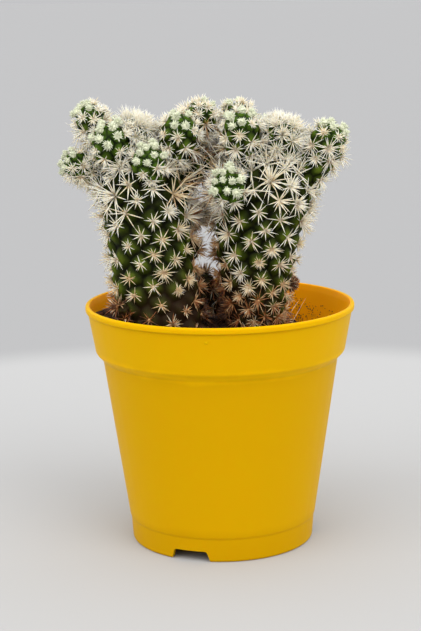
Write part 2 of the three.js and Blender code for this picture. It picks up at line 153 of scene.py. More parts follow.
@dataclass
class Gather:
    """Points, faces and point values collected for one mesh."""

    points: list[Array] = field(default_factory=list)
    faces: list[Array] = field(default_factory=list)
    values: dict[str, list[Array]] = field(default_factory=dict)
    count: int = 0

    def add(self, points: Array, faces: Sequence[Array], **values: Any) -> None:
        """Takes in a part.

        Args:
            points: its points, one a row.
            faces: arrays of point numbers, one face a row.
            values: a number, or one for each point, for each named value.
        """
        self.points.append(points)
        self.faces.extend(group + self.count for group in faces)
        for name, value in values.items():
            spread = np.broadcast_to(np.asarray(value, np.float32), (len(points),))
            self.values.setdefault(name, []).append(spread)
        self.count += len(points)

    def build(self, name: str) -> bpy.types.Object:
        """Makes the object.

        Args:
            name: the object's name.

        Returns:
            The object, with its place in its mesh.
        """
        mesh = bpy.data.meshes.new(name)
        points = row_frame(np.concatenate(self.points))
        faces = [face for group in self.faces for face in group.tolist()]
        mesh.from_pydata(points.tolist(), [], faces)
        for key, parts in self.values.items():
            attribute = mesh.attributes.new(key, "FLOAT", "POINT")
            attribute.data.foreach_set("value", np.concatenate(parts))
        mesh.polygons.foreach_set("use_smooth", [True] * len(mesh.polygons))
        mesh.update()
        made = bpy.data.objects.new(name, mesh)
        bpy.context.scene.collection.objects.link(made)
        return made


def ring_faces(rows: int, columns: int) -> list[Array]:
    """Gives the faces of rows of points that close round their columns.

    Args:
        rows: number of rings.
        columns: points in a ring.

    Returns:
        Quads between the rings, and fans to a point before the rings and one after.
    """
    here = np.arange(columns)
    after = (here + 1) % columns
    start = 1 + np.arange(rows - 1)[:, None] * columns
    corners = [start + here, start + after, start + columns + after, start + columns + here]
    quads = np.stack(np.broadcast_arrays(*corners), -1).reshape(-1, 4)
    last = 1 + (rows - 1) * columns
    low_fan = np.stack([np.zeros_like(here), 1 + after, 1 + here], -1)
    high_fan = np.stack([np.full_like(here, last + columns), last + here, last + after], -1)
    return [quads, low_fan, high_fan]


def turned(profile: Array, columns: int) -> tuple[Array, list[Array]]:
    """Turns an outline about the Z axis.

    Args:
        profile: radius and height of each point, with the first and last on the axis.
        columns: facets round the axis.

    Returns:
        Points and faces.
    """
    angle = np.arange(columns) * TURN / columns
    radius, height = profile[1:-1, 0:1], profile[1:-1, 1:2]
    ring = [radius * np.cos(angle), radius * np.sin(angle), height + 0 * angle]
    rings = np.stack(ring, -1).reshape(-1, 3)
    points = np.vstack([[0, 0, profile[0, 1]], rings, [0, 0, profile[-1, 1]]])
    return points, ring_faces(len(profile) - 2, columns)


def pebble(detail: int) -> tuple[Array, Array]:
    """Makes a ball of radius 1 out of triangles.

    Args:
        detail: how often its faces are divided.

    Returns:
        Points and faces.
    """
    shape = bmesh.new()
    bmesh.ops.create_icosphere(shape, subdivisions=detail, radius=1.0)
    points = np.array([vertex.co[:] for vertex in shape.verts])
    faces = np.array([[vertex.index for vertex in face.verts] for face in shape.faces])
    shape.free()
    return points, faces


BALL = pebble(2)
COARSE_BALL = pebble(1)


@dataclass
class Prickles:
    """Tapered prickles, one a row."""

    base: Array
    heading: Array  # unit directions
    length: Array
    sag: Array  # how far each tip is carried off its line, as a share of the length

    # Shares of the length, and of the girth there, before the tip.
    taper: ClassVar[tuple[Span, ...]] = ((0.0, 1.0), (0.35, 0.82), (0.72, 0.45))
    bristle_taper: ClassVar[tuple[Span, ...]] = ((0.0, 1.0), (0.55, 0.7))

    def reached(self, share: float = 1.0) -> Array:
        """Gives the point at a share of each one's length, before it sags."""
        return self.base + self.heading * self.length[:, None] * share

    def only(self, kept: Array) -> "Prickles":
        """Gives the prickles that are kept."""
        return Prickles(self.base[kept], self.heading[kept], self.length[kept], self.sag[kept])

    def add_to(self, gather: Gather, girth: Array, sides: int = 4, **values: Array) -> None:
        """Adds the prickles to a mesh.

        Args:
            gather: the mesh.
            girth: radius of each one at its base.
            sides: facets round a prickle; a bristle has 3.
            values: other values, one a prickle.
        """
        outline = self.taper if sides > 3 else self.bristle_taper
        helper = np.where(np.abs(self.heading[:, 2:3]) < 0.8, [[0.0, 0.0, 1.0]], [[1.0, 0.0, 0.0]])
        across = unit(np.cross(self.heading, helper))
        over = np.cross(self.heading, across)
        angle = (np.arange(sides) * TURN / sides)[None, :, None]
        spokes = across[:, None] * np.cos(angle) + over[:, None] * np.sin(angle)
        length = self.length[:, None]
        rings = []
        for step, share in outline:
            centre = self.base + length * (self.heading * step + self.sag * step * step)
            rings.append(centre[:, None] + spokes * (girth * share)[:, None, None])
        tip = self.base + length * (self.heading + self.sag)
        points = np.concatenate([*rings, tip[:, None]], axis=1)
        each = points.shape[1]
        here = np.arange(sides)
        after = (here + 1) % sides
        last = (len(outline) - 1) * sides
        quads = [
            np.stack([row + here, row + after, row + sides + after, row + sides + here], -1)
            for row in range(0, last, sides)
        ]
        cone = np.stack([last + here, last + after, np.full(sides, each - 1)], -1)
        start = (np.arange(len(self.base)) * each)[:, None, None]
        faces = [
            (np.concatenate(quads)[None] + start).reshape(-1, 4),
            (cone[None] + start).reshape(-1, 3),
            (here[::-1][None, None] + start).reshape(-1, sides),
        ]
        along = np.repeat([*(step for step, _ in outline), 1.0], [sides] * len(outline) + [1])
        spread = {name: np.repeat(value, each) for name, value in values.items()}
        gather.add(points.reshape(-1, 3), faces, along=np.tile(along, len(self.base)), **spread)


def dress(made: bpy.types.Object, finish: bpy.types.Material, node: str) -> bpy.types.Object:
    """Gives a piece its finish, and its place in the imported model.

    Args:
        made: the piece.
        finish: its material.
        node: the CAD node it stands for.

    Returns:
        The piece.
    """
    made.data.materials.append(finish)
    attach(made, "root")
    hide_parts(node)
    return made


# --------------------------------------------------------------------------- finishes

AMOUNT, FIRST, SECOND, MIXED = 0, 6, 7, 2  # a colour mix's three inputs and its output
SWING = {"From Min": 0.3, "From Max": 0.7}  # where most of a noise's values lie


def linear(colour: str) -> tuple[float, float, float, float]:
    """Turns an sRGB hex colour to linear light.

    Args:
        colour: six hex digits after a hash sign.

    Returns:
        Red, green, blue and full opacity.
    """
    shares = [int(colour[i : i + 2], 16) / 255 for i in (1, 3, 5)]
    light = [s / 12.92 if s <= 0.04045 else ((s + 0.055) / 1.055) ** 2.4 for s in shares]
    return (light[0], light[1], light[2], 1.0)


def per_metre(size_mm: float) -> float:
    """Gives a texture's scale, for features of that size in millimetres."""
    return 1 / (size_mm * MM)


def feed(tree: bpy.types.NodeTree, fed: bpy.types.Node, inputs: dict[str | int, Any]) -> None:
    """Sets a node's inputs.

    Args:
        tree: the node tree that it is in.
        fed: the node.
        inputs: a constant or an output socket for each input, by name or number.
    """
    for key, value in inputs.items():
        if isinstance(value, bpy.types.NodeSocket):
            tree.links.new(value, fed.inputs[key])
        else:
            fed.inputs[key].default_value = value


def add_node(
    tree: bpy.types.NodeTree,
    kind: str,
    inputs: dict[str | int, Any] | None = None,
    stops: Sequence[tuple[float, str]] = (),
    **settings: Any,
) -> bpy.types.Node:
    """Adds a node with its settings and links.

    Args:
        tree: the node tree to add it to.
        kind: Blender's name for the shader node's type, without its first word.
        inputs: a constant or an output socket for each input, by name or number.
        stops: positions and hex colours of a colour ramp.
        settings: the node's own properties.

    Returns:
        The node.
    """
    made = tree.nodes.new("ShaderNode" + kind)
    for name, value in settings.items():
        setattr(made, name, value)
    feed(tree, made, inputs or {})
    if stops:
        ramp = made.color_ramp.elements
        while len(ramp) < len(stops):
            ramp.new(1.0)
        for element, (position, colour) in zip(ramp, stops):
            element.position = position
            element.color = linear(colour)
    return made


class Finish:
    """A surface of one kind. Each kind says what feeds the inputs of its shader."""

    name: ClassVar[str]

    def shader_inputs(self, node: AddNode, place: bpy.types.NodeSocket) -> dict[str, Any]:
        """Gives a constant or an output socket for each input of the surface shader."""
        raise NotImplementedError

    def material(self) -> bpy.types.Material:
        """Builds the material.

        Returns:
            The material, named after the finish.
        """
        material = bpy.data.materials.new(self.name)
        material.use_nodes = True
        tree = material.node_tree
        place = add_node(tree, "TexCoord").outputs["Object"]
        inputs = self.shader_inputs(partial(add_node, tree), place)
        feed(tree, tree.nodes["Principled BSDF"], inputs)
        return material


@dataclass(frozen=True)
class MouldedPolypropylene(Finish):
    """Polypropylene, injection moulded in a spark-eroded tool.

    The eye sees a saturated yellow with a soft, low sheen. Fine grain breaks the
    highlights, and faint upright weld lines run down the wall.
    """

    name: ClassVar[str] = "moulded_polypropylene"
    # foot, body, chamfer and band tint the outside by height: the foot is painted darker, as painted shade
    # towards the bottom, and the chamfer and band paler, as painted light
    foot: str = "#c49400"
    body: str = "#cd9c00"
    chamfer: str = "#e6b200"
    band: str = "#d8a600"
    inside: str = "#ffa800"  # painted glow: the inside is painted brighter, for light that comes through the wall
    under_shade: str = "#2e200c"  # painted shade: inward faces under the raised floor are painted dark brown
    # heights over which the painted shade under the floor gives way to the inside colour
    under_shade_mm: Span = (5.2, 5.8)
    height_mm: float = 76.0
    foot_mm: float = 7.9
    band_mm: float = 59.0
    cloud_mm: float = 14.0
    drift_mm: float = 4.0  # how far the clouds carry the tints up the wall
    grain_mm: float = 0.45  # real grain is near 0.1 mm; this is as fine as a render shows
    grain_depth_mm: float = 0.05
    weld_count: float = 12.0
    weld_rise: float = 6.0  # turns of the flow pattern in a metre of height
    weld_depth_mm: float = 0.25
    roughness: Span = (0.37, 0.46)

    def shader_inputs(self, node: AddNode, place: bpy.types.NodeSocket) -> dict[str, Any]:
        """Builds the nodes: the wall's tint outside and inside, then its gloss and relief.

        Args:
            node: adds a node to the material's tree.
            place: the point's place in the row frame, in metres.

        Returns:
            A constant or an output socket for each input of the surface shader.
        """
        tint = self.wall_tint(node, place)
        across, along, height = node("SeparateXYZ", {0: place}).outputs
        grain = node("TexNoise", {"Vector": place, "Scale": per_metre(self.grain_mm), "Detail": 2.0})
        heading = node("Math", {0: along, 1: across}, operation="ARCTAN2").outputs[0]
        stretch = node("Math", {0: heading, 1: self.weld_count}, operation="MULTIPLY").outputs[0]
        rise = node("Math", {0: height, 1: self.weld_rise}, operation="MULTIPLY").outputs[0]
        sheet = node("CombineXYZ", {"X": stretch, "Y": rise}).outputs[0]
        flow = node("TexNoise", {"Vector": sheet, "Scale": 1.0, "Detail": 2.0}).outputs["Fac"]
        low, high = self.roughness
        gloss = node("MapRange", {"Value": flow, **SWING, "To Min": low, "To Max": high})
        depth, fine = self.weld_depth_mm * MM, self.grain_depth_mm * MM
        relief = node("Bump", {"Height": flow, "Strength": 0.25, "Distance": depth}).outputs["Normal"]
        pitted = {"Height": grain.outputs["Fac"], "Strength": 0.35, "Distance": fine, "Normal": relief}
        return {
            "Base Color": tint,
            "Roughness": gloss.outputs["Result"],
            "Normal": node("Bump", pitted).outputs["Normal"],
            "IOR": 1.49,
            "Specular IOR Level": 0.03,
            "Subsurface Weight": 0.25,
            "Subsurface Radius": (1.0, 0.4, 0.03),
            "Subsurface Scale": 2 * MM,
        }

    def wall_tint(self, node: AddNode, place: bpy.types.NodeSocket) -> bpy.types.NodeSocket:
        """Builds the tint: by height outside, with painted shade at the foot and painted light on the chamfer
        and band; a painted glow inside; and painted shade under the floor.

        Args:
            node: adds a node to the material's tree.
            place: the point's place in the row frame, in metres.

        Returns:
            The colour.
        """
        cloud = node("TexNoise", {"Vector": place, "Scale": per_metre(self.cloud_mm), "Detail": 3.0})
        height = node("SeparateXYZ", {0: place}).outputs["Z"]
        carried = {0: cloud.outputs["Fac"], 1: self.drift_mm * MM, 2: height}
        drift = node("Math", carried, operation="MULTIPLY_ADD").outputs[0]
        share = node("Math", {0: drift, 1: self.height_mm * MM}, operation="DIVIDE").outputs[0]
        foot, band = self.foot_mm / self.height_mm, self.band_mm / self.height_mm
        # the ramp paints the foot darker (painted shade) and the chamfer and band paler (painted light) than
        # the body
        stops = [
            (0.0, self.foot),
            (foot + 0.02, self.foot),
            (foot + 0.06, self.body),
            (band + 0.015, self.body),
            (band + 0.04, self.chamfer),
            (band + 0.07, self.band),
        ]
        outer = node("ValToRGB", {0: share}, stops=stops).outputs[0]
        normal = node("NewGeometry").outputs["Normal"]
        spoke = node("VectorMath", {0: place, 1: (1.0, 1.0, 0.0)}, operation="MULTIPLY").outputs[0]
        facing = node("VectorMath", {0: normal, 1: spoke}, operation="DOT_PRODUCT").outputs["Value"]
        inward = node("MapRange", {"Value": facing, "From Min": -0.005, "From Max": -0.015})
        # painted shade: below the raised floor the inward faces are painted dark
        low, high = (edge * MM for edge in self.under_shade_mm)
        unshaded = node("MapRange", {"Value": height, "From Min": low, "From Max": high}).outputs["Result"]
        shades = {AMOUNT: unshaded, FIRST: linear(self.under_shade), SECOND: linear(self.inside)}
        # the lining is painted: a glow for light through the wall, and painted shade under the raised floor
        lining = node("Mix", shades, data_type="RGBA").outputs[MIXED]
        sides = {AMOUNT: inward.outputs["Result"], FIRST: outer, SECOND: lining}
        return node("Mix", sides, data_type="RGBA").outputs[MIXED]


@dataclass(frozen=True)
class PeatCompost(Finish):
    """Peat and bark compost, filled in loose.

    The eye sees near-black brown crumbs, with a few paler bark fibres. The near-black lies in the hollows of
    the lumps: partly the peat's own colour, partly painted shade between the crumbs.
    """

    name: ClassVar[str] = "peat_compost"
    dark: str = "#20120b"
    brown: str = "#4c2c19"
    bark: str = "#8a4a24"
    crumb_mm: float = 1.3
    crumb_depth_mm: float = 0.5

    def shader_inputs(self, node: AddNode, place: bpy.types.NodeSocket) -> dict[str, Any]:
        """Builds the nodes: crumbs from dark to brown, and bark where the mesh says so.

        Args:
            node: adds a node to the material's tree.
            place: the point's place in the row frame, in metres.

        Returns:
            A constant or an output socket for each input of the surface shader.
        """
        noise = node("TexNoise", {"Vector": place, "Scale": per_metre(self.crumb_mm), "Detail": 6.0})
        crumb = noise.outputs["Fac"]
        # the same noise sets the lumps, so the hollows are painted dark: partly the peat's own colour, partly
        # painted shade
        earth = node("ValToRGB", {0: crumb}, stops=[(0.35, self.dark), (0.72, self.brown)])
        bark = node("Attribute", attribute_name="bark").outputs["Fac"]
        shades = {AMOUNT: bark, FIRST: earth.outputs[0], SECOND: linear(self.bark)}
        lumps = {"Height": crumb, "Strength": 0.9, "Distance": self.crumb_depth_mm * MM}
        return {
            "Base Color": node("Mix", shades, data_type="RGBA").outputs[MIXED],
            "Normal": node("Bump", lumps).outputs["Normal"],
            "Roughness": 0.92,
            "Specular IOR Level": 0.25,
        }


@dataclass(frozen=True)
class CactusSkin(Finish):
    """Living cactus skin with a thin waxy cuticle.

    The eye sees green that is painted paler on each tubercle, as painted light, and near black-green in the
    furrows, as painted shade; fresh yellow-green on the young growth, and brown cork near the compost.
    """

    name: ClassVar[str] = "cactus_skin"
    # furrow, flank and crest follow the relief: furrows painted near black as painted shade, crests paler as
    # painted light; the fresh pair likewise
    furrow: str = "#0d0f03"
    flank: str = "#303b0b"
    crest: str = "#5f6e20"
    fresh_furrow: str = "#111c08"
    fresh_crest: str = "#51701c"
    cork: str = "#2b1d12"
    blotch_mm: float = 2.2
    blotch_sway: float = 0.14
    pore_mm: float = 0.5  # real pores are finer; drawn as coarse as a render shows
    pore_depth_mm: float = 0.12

    def shader_inputs(self, node: AddNode, place: bpy.types.NodeSocket) -> dict[str, Any]:
        """Builds the nodes: green by relief, with painted shade in the furrows and painted light on the
        crests, blotched, then cork over it, then pores.

        Args:
            node: adds a node to the material's tree.
            place: the point's place in the row frame, in metres.

        Returns:
            A constant or an output socket for each input of the surface shader.
        """
        relief, fresh, cork = (
            node("Attribute", attribute_name=name).outputs["Fac"] for name in ("relief", "fresh", "cork")
        )
        noise = node("TexNoise", {"Vector": place, "Scale": per_metre(self.blotch_mm), "Detail": 4.0})
        reach = {"To Min": -self.blotch_sway, "To Max": self.blotch_sway}
        sway = node("MapRange", {"Value": noise.outputs["Fac"], **SWING, **reach}).outputs[0]
        height = node("Math", {0: relief, 1: sway}, operation="ADD").outputs[0]
        grown_stops = [(0.02, self.furrow), (0.5, self.flank), (0.95, self.crest)]
        grown = node("ValToRGB", {0: height}, stops=grown_stops).outputs[0]
        young_stops = [(0.0, self.fresh_furrow), (0.85, self.fresh_crest)]
        young = node("ValToRGB", {0: height}, stops=young_stops).outputs[0]
        greens = {AMOUNT: fresh, FIRST: grown, SECOND: young}
        green = node("Mix", greens, data_type="RGBA").outputs[MIXED]
        patch = node("Math", {0: cork, 1: sway}, operation="ADD", use_clamp=True).outputs[0]
        shades = {AMOUNT: patch, FIRST: green, SECOND: linear(self.cork)}
        pores = node("TexNoise", {"Vector": place, "Scale": per_metre(self.pore_mm), "Detail": 2.0})
        depth = self.pore_depth_mm * MM
        pitted = {"Height": pores.outputs["Fac"], "Strength": 0.5, "Distance": depth}
        return {
            "Base Color": node("Mix", shades, data_type="RGBA").outputs[MIXED],
            "Normal": node("Bump", pitted).outputs["Normal"],
            "Roughness": 0.5,
            "IOR": 1.42,
            "Specular IOR Level": 0.06,
        }


@dataclass(frozen=True)
class HornSpine(Finish):
    """Cactus spine, a hard dry fibre like horn.

    The eye sees cream, tan at the root, and old spines gone brown and rust near the
    compost.
    """

    name: ClassVar[str] = "horn_spine"
    cream: str = "#f2ecda"
    straw: str = "#e8d3ac"
    tan: str = "#bd976a"
    rust: str = "#a05c2a"
    dead: str = "#3e2210"
    root: str = "#b47a44"
    root_share: float = 0.4  # of the spine's length, over which the root's tan fades
    streak_mm: float = 1.1
    streak_sway: float = 0.1

    def shader_inputs(self, node: AddNode, place: bpy.types.NodeSocket) -> dict[str, Any]:
        """Builds the nodes: a tone for each spine, streaked, and a tan root.

        Args:
            node: adds a node to the material's tree.
            place: the point's place in the row frame, in metres.

        Returns:
            A constant or an output socket for each input of the surface shader.
        """
        along, tone, stain = (
            node("Attribute", attribute_name=name).outputs["Fac"] for name in ("along", "tone", "stain")
        )
        noise = node("TexNoise", {"Vector": place, "Scale": per_metre(self.streak_mm), "Detail": 2.0})
        reach = {"To Min": -self.streak_sway, "To Max": self.streak_sway}
        sway = node("MapRange", {"Value": noise.outputs["Fac"], **SWING, **reach}).outputs[0]
        mixed = node("Math", {0: tone, 1: sway}, operation="ADD").outputs[0]
        ages = (self.cream, self.straw, self.tan, self.rust, self.dead)
        dry = node("ValToRGB", {0: mixed}, stops=list(zip((0.05, 0.3, 0.55, 0.78, 1.0), ages)))
        fade = {"From Min": 0.0, "From Max": self.root_share, "To Min": stain, "To Max": 0.0}
        rooted = node("MapRange", {"Value": along, **fade}).outputs[0]
        shades = {AMOUNT: rooted, FIRST: dry.outputs[0], SECOND: linear(self.root)}
        return {
            "Base Color": node("Mix", shades, data_type="RGBA").outputs[MIXED],
            "Roughness": 0.45,
            "IOR": 1.54,
            "Subsurface Weight": 0.5,
            "Subsurface Radius": (1.0, 0.85, 0.6),
            "Subsurface Scale": 0.3 * MM,
        }


@dataclass(frozen=True)
class AreoleWool(Finish):
    """Short plant wool on the areoles.

    The eye sees tan felt on old areoles and pale mint tufts on the growing crowns.
    """

    name: ClassVar[str] = "areole_wool"
    young: str = "#dfe3c6"
    old: str = "#c39a6b"
    tuft_mm: float = 0.35
    tuft_depth_mm: float = 0.2

    def shader_inputs(self, node: AddNode, place: bpy.types.NodeSocket) -> dict[str, Any]:
        """Builds the nodes: a tone for each areole, and felted tufts.

        Args:
            node: adds a node to the material's tree.
            place: the point's place in the row frame, in metres.

        Returns:
            A constant or an output socket for each input of the surface shader.
        """
        tone = node("Attribute", attribute_name="tone").outputs["Fac"]
        tint = node("ValToRGB", {0: tone}, stops=[(0.0, self.young), (0.7, self.old)])
        tuft = node("TexNoise", {"Vector": place, "Scale": per_metre(self.tuft_mm), "Detail": 2.0})
        depth = self.tuft_depth_mm * MM
        felt = {"Height": tuft.outputs["Fac"], "Strength": 0.8, "Distance": depth}
        return {
            "Base Color": tint.outputs[0],
            "Normal": node("Bump", felt).outputs["Normal"],
            "Roughness": 0.85,
            "Sheen Weight": 0.3,
            "Specular IOR Level": 0.2,
        }


@dataclass(frozen=True)
class SweepPaper(Finish):
    """Matt white background paper.

    The eye sees a plain pale floor, painted lighter near the pot as a painted pool of light, that falls off
    to a cooler grey away from the pot.
    """

    name: ClassVar[str] = "sweep_paper"
    # near and far: the floor is painted lighter near the pot and darker beyond, a painted pool of light round
    # it
    near: str = "#b0b0b0"
    far: str = "#9d9d9e"
    light_pool_mm: Span = (255.0, 300.0)

    def shader_inputs(self, node: AddNode, place: bpy.types.NodeSocket) -> dict[str, Any]:
        """Builds the nodes: the near tint fades to the far one with distance, painting a pool of light round
        the pot.

        Args:
            node: adds a node to the material's tree.
            place: the point's place in the row frame, in metres.

        Returns:
            A constant or an output socket for each input of the surface shader.
        """
        reach = node("VectorMath", {0: place}, operation="LENGTH").outputs["Value"]
        low, high = (edge * MM for edge in self.light_pool_mm)
        span = {"Value": reach, "From Min": low, "From Max": high}
        fade = node("MapRange", span, interpolation_type="SMOOTHSTEP").outputs["Result"]
        shades = {AMOUNT: fade, FIRST: linear(self.near), SECOND: linear(self.far)}
        tint = node("Mix", shades, data_type="RGBA").outputs[MIXED]
        return {"Base Color": tint, "Roughness": 0.9, "Specular IOR Level": 0.1}


# ----------------------------------------------------------------------------- studio


@dataclass
class Studio:
    """Plain pale floor, soft light and the camera."""

    lens_mm: float = 91.28
    camera_at: Point = (0.0, -495.1, 170.2)
    yaw: float = -0.0060
    pitch: float = 0.1967
    roll: float = -0.0149
    sight: float = 200.0  # metres
    floor_radius: float = 60000.0
    floor_facets: int = 96
    surround: str = "#c5c5c7"
    overhead: float = 1.2
    overhead_from: Span = (0.17, 0.75)  # rise of the direction over which the surround brightens
    key_strength: float = 0.8
    key_spread: float = 45.0  # degrees
    keys_from: tuple[Point, ...] = ((-1.0, -0.8, 1.0), (0.2, -1.0, 1.3), (0.9, -0.9, 0.9))

    def build(self) -> None:
        """Sets up the camera, the light and the floor."""
        self.place_camera()
        self.set_surround()
        self.hang_lights()
        self.lay_floor()

    def place_camera(self) -> None:
        """Makes the camera and points it."""
        data = bpy.data.cameras.new("camera")
        data.lens = self.lens_mm
        data.clip_end = self.sight
        level = math.cos(self.pitch)
        ahead = Vector((math.sin(self.yaw) * level, math.cos(self.yaw) * level, -math.sin(self.pitch)))
        right = Vector((math.cos(self.yaw), -math.sin(self.yaw), 0))
        over = right.cross(ahead)
        sideways = right * math.cos(self.roll) + over * math.sin(self.roll)
        upright = over * math.cos(self.roll) - right * math.sin(self.roll)
        turn = Matrix((sideways, upright, -ahead)).transposed()
        camera = bpy.data.objects.new("camera", data)
        camera.matrix_world = Matrix.Translation(row_frame(np.array(self.camera_at))) @ turn.to_4x4()
        bpy.context.scene.collection.objects.link(camera)
        bpy.context.scene.camera = camera

    def set_surround(self) -> None:
        """Makes the surround, brighter above and beside."""
        scene = bpy.context.scene
        scene.view_settings.view_transform = "Standard"
        world = bpy.data.worlds.new("studio")
        world.use_nodes = True
        tree = world.node_tree
        node = partial(add_node, tree)
        apart = node("SeparateXYZ", {0: node("TexCoord").outputs["Generated"]}).outputs
        beside = node("Math", {0: apart["X"]}, operation="ABSOLUTE").outputs[0]
        either = node("Math", {0: apart["Z"], 1: beside}, operation="MAXIMUM").outputs[0]
        low, high = self.overhead_from
        span = {"Value": either, "From Min": low, "From Max": high}
        rise = node("MapRange", span, interpolation_type="SMOOTHSTEP").outputs["Result"]
        bright = (self.overhead, self.overhead, self.overhead, 1.0)
        shades = {AMOUNT: rise, FIRST: linear(self.surround), SECOND: bright}
        sky = node("Mix", shades, data_type="RGBA").outputs[MIXED]
        feed(tree, tree.nodes["Background"], {"Color": sky})
        scene.world = world

    def hang_lights(self) -> None:
        """Makes the broad soft lights."""
        for number, source in enumerate(self.keys_from):
            data = bpy.data.lights.new(f"softbox_{number}", "SUN")
            data.energy = self.key_strength
            data.angle = math.radians(self.key_spread)
            key = bpy.data.objects.new(f"softbox_{number}", data)
            key.rotation_mode = "QUATERNION"
            key.rotation_quaternion = Vector(source).to_track_quat("Z", "Y")
            bpy.context.scene.collection.objects.link(key)

    def lay_floor(self) -> None:
        """Makes the floor, a flat disc that the pot stands on."""
        gather = Gather()
        points, (_, fan, _) = turned(np.array([[0, 0], [self.floor_radius, 0], [0, 0]]), self.floor_facets)
        gather.add(points[:-1], [fan[:, ::-1]])
        floor = gather.build("floor")
        floor.data.materials.append(SweepPaper().material())


# -------------------------------------------------------------------------------- pot


@dataclass
class NurseryPot:
    """The moulded pot: rolled lip, stepped band, tapered wall and notched foot."""

    height: float = 76.0
    lip_radius: float = 42.25
    lip_height: float = 2.0
    lip_edge: float = 1.3
    lip_under: float = 0.15  # how far the lip's underside rises outwards
    band_top: float = 41.55
    band_foot: Span = (39.3, 61.2)
    shoulder: Span = (37.1, 58.9)
    body_foot: float = 29.7
    foot_radius: float = 29.3
    foot_height: float = 7.9
    foot_ring: float = 2.3
    foot_draft: float = 0.45
    foot_ledge: Span = (0.1, 0.5)  # out from the foot's radius, and down from its height
    wall: float = 1.2
    floor_under: float = 5.4
    floor_thick: float = 1.5
    notch_angles: Point = (-110.6, 9.4, 129.4)
    notch_foot: float = 12.7
    notch_top: float = 10.6
    notch_height: float = 3.4
    notch_corner: float = 0.9
    drain_count: int = 6
    drain_radius: float = 3.2
    drain_circle: float = 18.0
    drain_facets: int = 24
    columns: int = 192
    crease: float = 32.0  # degrees over which an edge stays sharp
    gate_mark: Point = (-4.1, -40.75, 71.6)
    gate_mark_size: Point = (0.3, 0.75, 0.6)  # out of the wall, along it and up it

    def inner_radius(self, height: Array) -> Array:
        """Gives the radius of the inside of the wall.

        Args:
            height: where to measure it.

        Returns:
            The radius at each height.
        """
        floor_top = self.floor_under + self.floor_thick
        heights = [floor_top, self.shoulder[1], self.band_foot[1], self.height - self.lip_height]
        radii = [self.body_foot, self.shoulder[0], self.band_foot[0], self.band_top]
        return np.interp(height, heights, np.array(radii) - self.wall)

    def profile(self) -> Array:
        """Gives the outline of the whole shell, with its corners rounded.

        Returns:
            Radius and height of each point, from under the floor, up the outside and
            down the inside.
        """
        bead_low = self.height - self.lip_height
        ring_in = self.foot_radius - self.foot_ring
        floor_top = self.floor_under + self.floor_thick
        ledge_out, ledge_down = self.foot_ledge
        inner = [float(self.inner_radius(level)) for level in (bead_low, self.band_foot[1], self.shoulder[1])]
        return self.rounded(
            [  # radius, height, rounding
                (0.0, self.floor_under, 0.0),
                (ring_in, self.floor_under, 0.7),
                (ring_in, 0.0, 0.35),
                (self.foot_radius - self.foot_draft, 0.0, 0.9),
                (self.foot_radius + ledge_out, self.foot_height - ledge_down, 0.35),
                (self.body_foot, self.foot_height + 0.05, 0.4),
                (*self.shoulder, 0.45),
                (*self.band_foot, 0.6),
                (self.band_top, bead_low, 0.2),
                (self.lip_radius, bead_low + self.lip_under, 0.5),
                (self.lip_radius, self.height, 0.8),
                (self.lip_radius - self.lip_edge, self.height, 0.4),
                (inner[0], bead_low, 0.4),
                (inner[1], self.band_foot[1], 1.0),
                (inner[2], self.shoulder[1], 1.0),
                (self.body_foot - self.wall, floor_top, 1.2),
                (0.0, floor_top, 0.0),
            ]
        )

    @staticmethod
    def rounded(corners: Sequence[Point]) -> Array:
        """Rounds the corners of an outline.

        Args:
            corners: radius, height and rounding of each.

        Returns:
            Points of the rounded outline.
        """
        points: list[Array] = []
        for i, (radius, height, rounding) in enumerate(corners):
            here = np.array([[radius, height]])
            if rounding == 0:
                points.append(here)
                continue
            before = np.array(corners[i - 1][:2]) - here
            after = np.array(corners[i + 1][:2]) - here
            start = here + before * min(0.45, rounding / np.linalg.norm(before))
            end = here + after * min(0.45, rounding / np.linalg.norm(after))
            points.append(curved(start, here, end, 6))
        return np.vstack(points)

    def notch_cutter(self, degrees: float) -> tuple[Array, list[Array]]:
        """Makes what cuts one notch out of the foot ring.

        Args:
            degrees: the notch's direction from the pot's axis.

        Returns:
            Points and faces.
        """
        flare = (self.notch_foot - self.notch_top) / 2 / self.notch_height
        top, foot = self.notch_top / 2, self.notch_foot / 2 + flare
        corner = self.notch_corner
        bend = np.array([[top + flare * corner, -corner], [top, 0.0], [top - corner, 0.0]])
        right = curved(*bend, 7) + [0, self.notch_height]
        outline = np.vstack([[[-foot, -1.0], [foot, -1.0]], right, right[::-1] * [-1, 1]])
        angle = math.radians(degrees)
        out = np.array([math.cos(angle), math.sin(angle), 0])
        side = np.array([-math.sin(angle), math.cos(angle), 0])
        flat = outline[:, :1] * side + outline[:, 1:] * [0, 0, 1]
        near = flat + out * (self.foot_radius - 2 * self.foot_ring)
        far = flat + out * (self.foot_radius + self.foot_ring)
        count = len(outline)
        here = np.arange(count)
        after = (here + 1) % count
        walls = np.stack([here, after, count + after, count + here], -1)
        return np.vstack([near, far]), [walls, here[::-1][None], (here + count)[None]]

    def drain_cutter(self, angle: float) -> tuple[Array, list[Array]]:
        """Makes what cuts one hole through the raised floor.

        Args:
            angle: the hole's direction from the pot's axis, in radians.

        Returns:
            Points and faces.
        """
        low, high = self.floor_under - 2, self.floor_under + self.floor_thick + 2
        profile = np.array([[0, low], [self.drain_radius, low], [self.drain_radius, high], [0, high]])
        points, faces = turned(profile, self.drain_facets)
        centre = [self.drain_circle * math.cos(angle), self.drain_circle * math.sin(angle), 0]
        return points + centre, faces

    def build(self) -> list[bpy.types.Object]:
        """Makes the pot.

        Returns:
            The shell and the gate mark.
        """
        finish = MouldedPolypropylene().material()
        shell = dress(self.build_shell(), finish, "pot")
        return [shell, dress(self.build_gate_mark(), finish, "pot")]

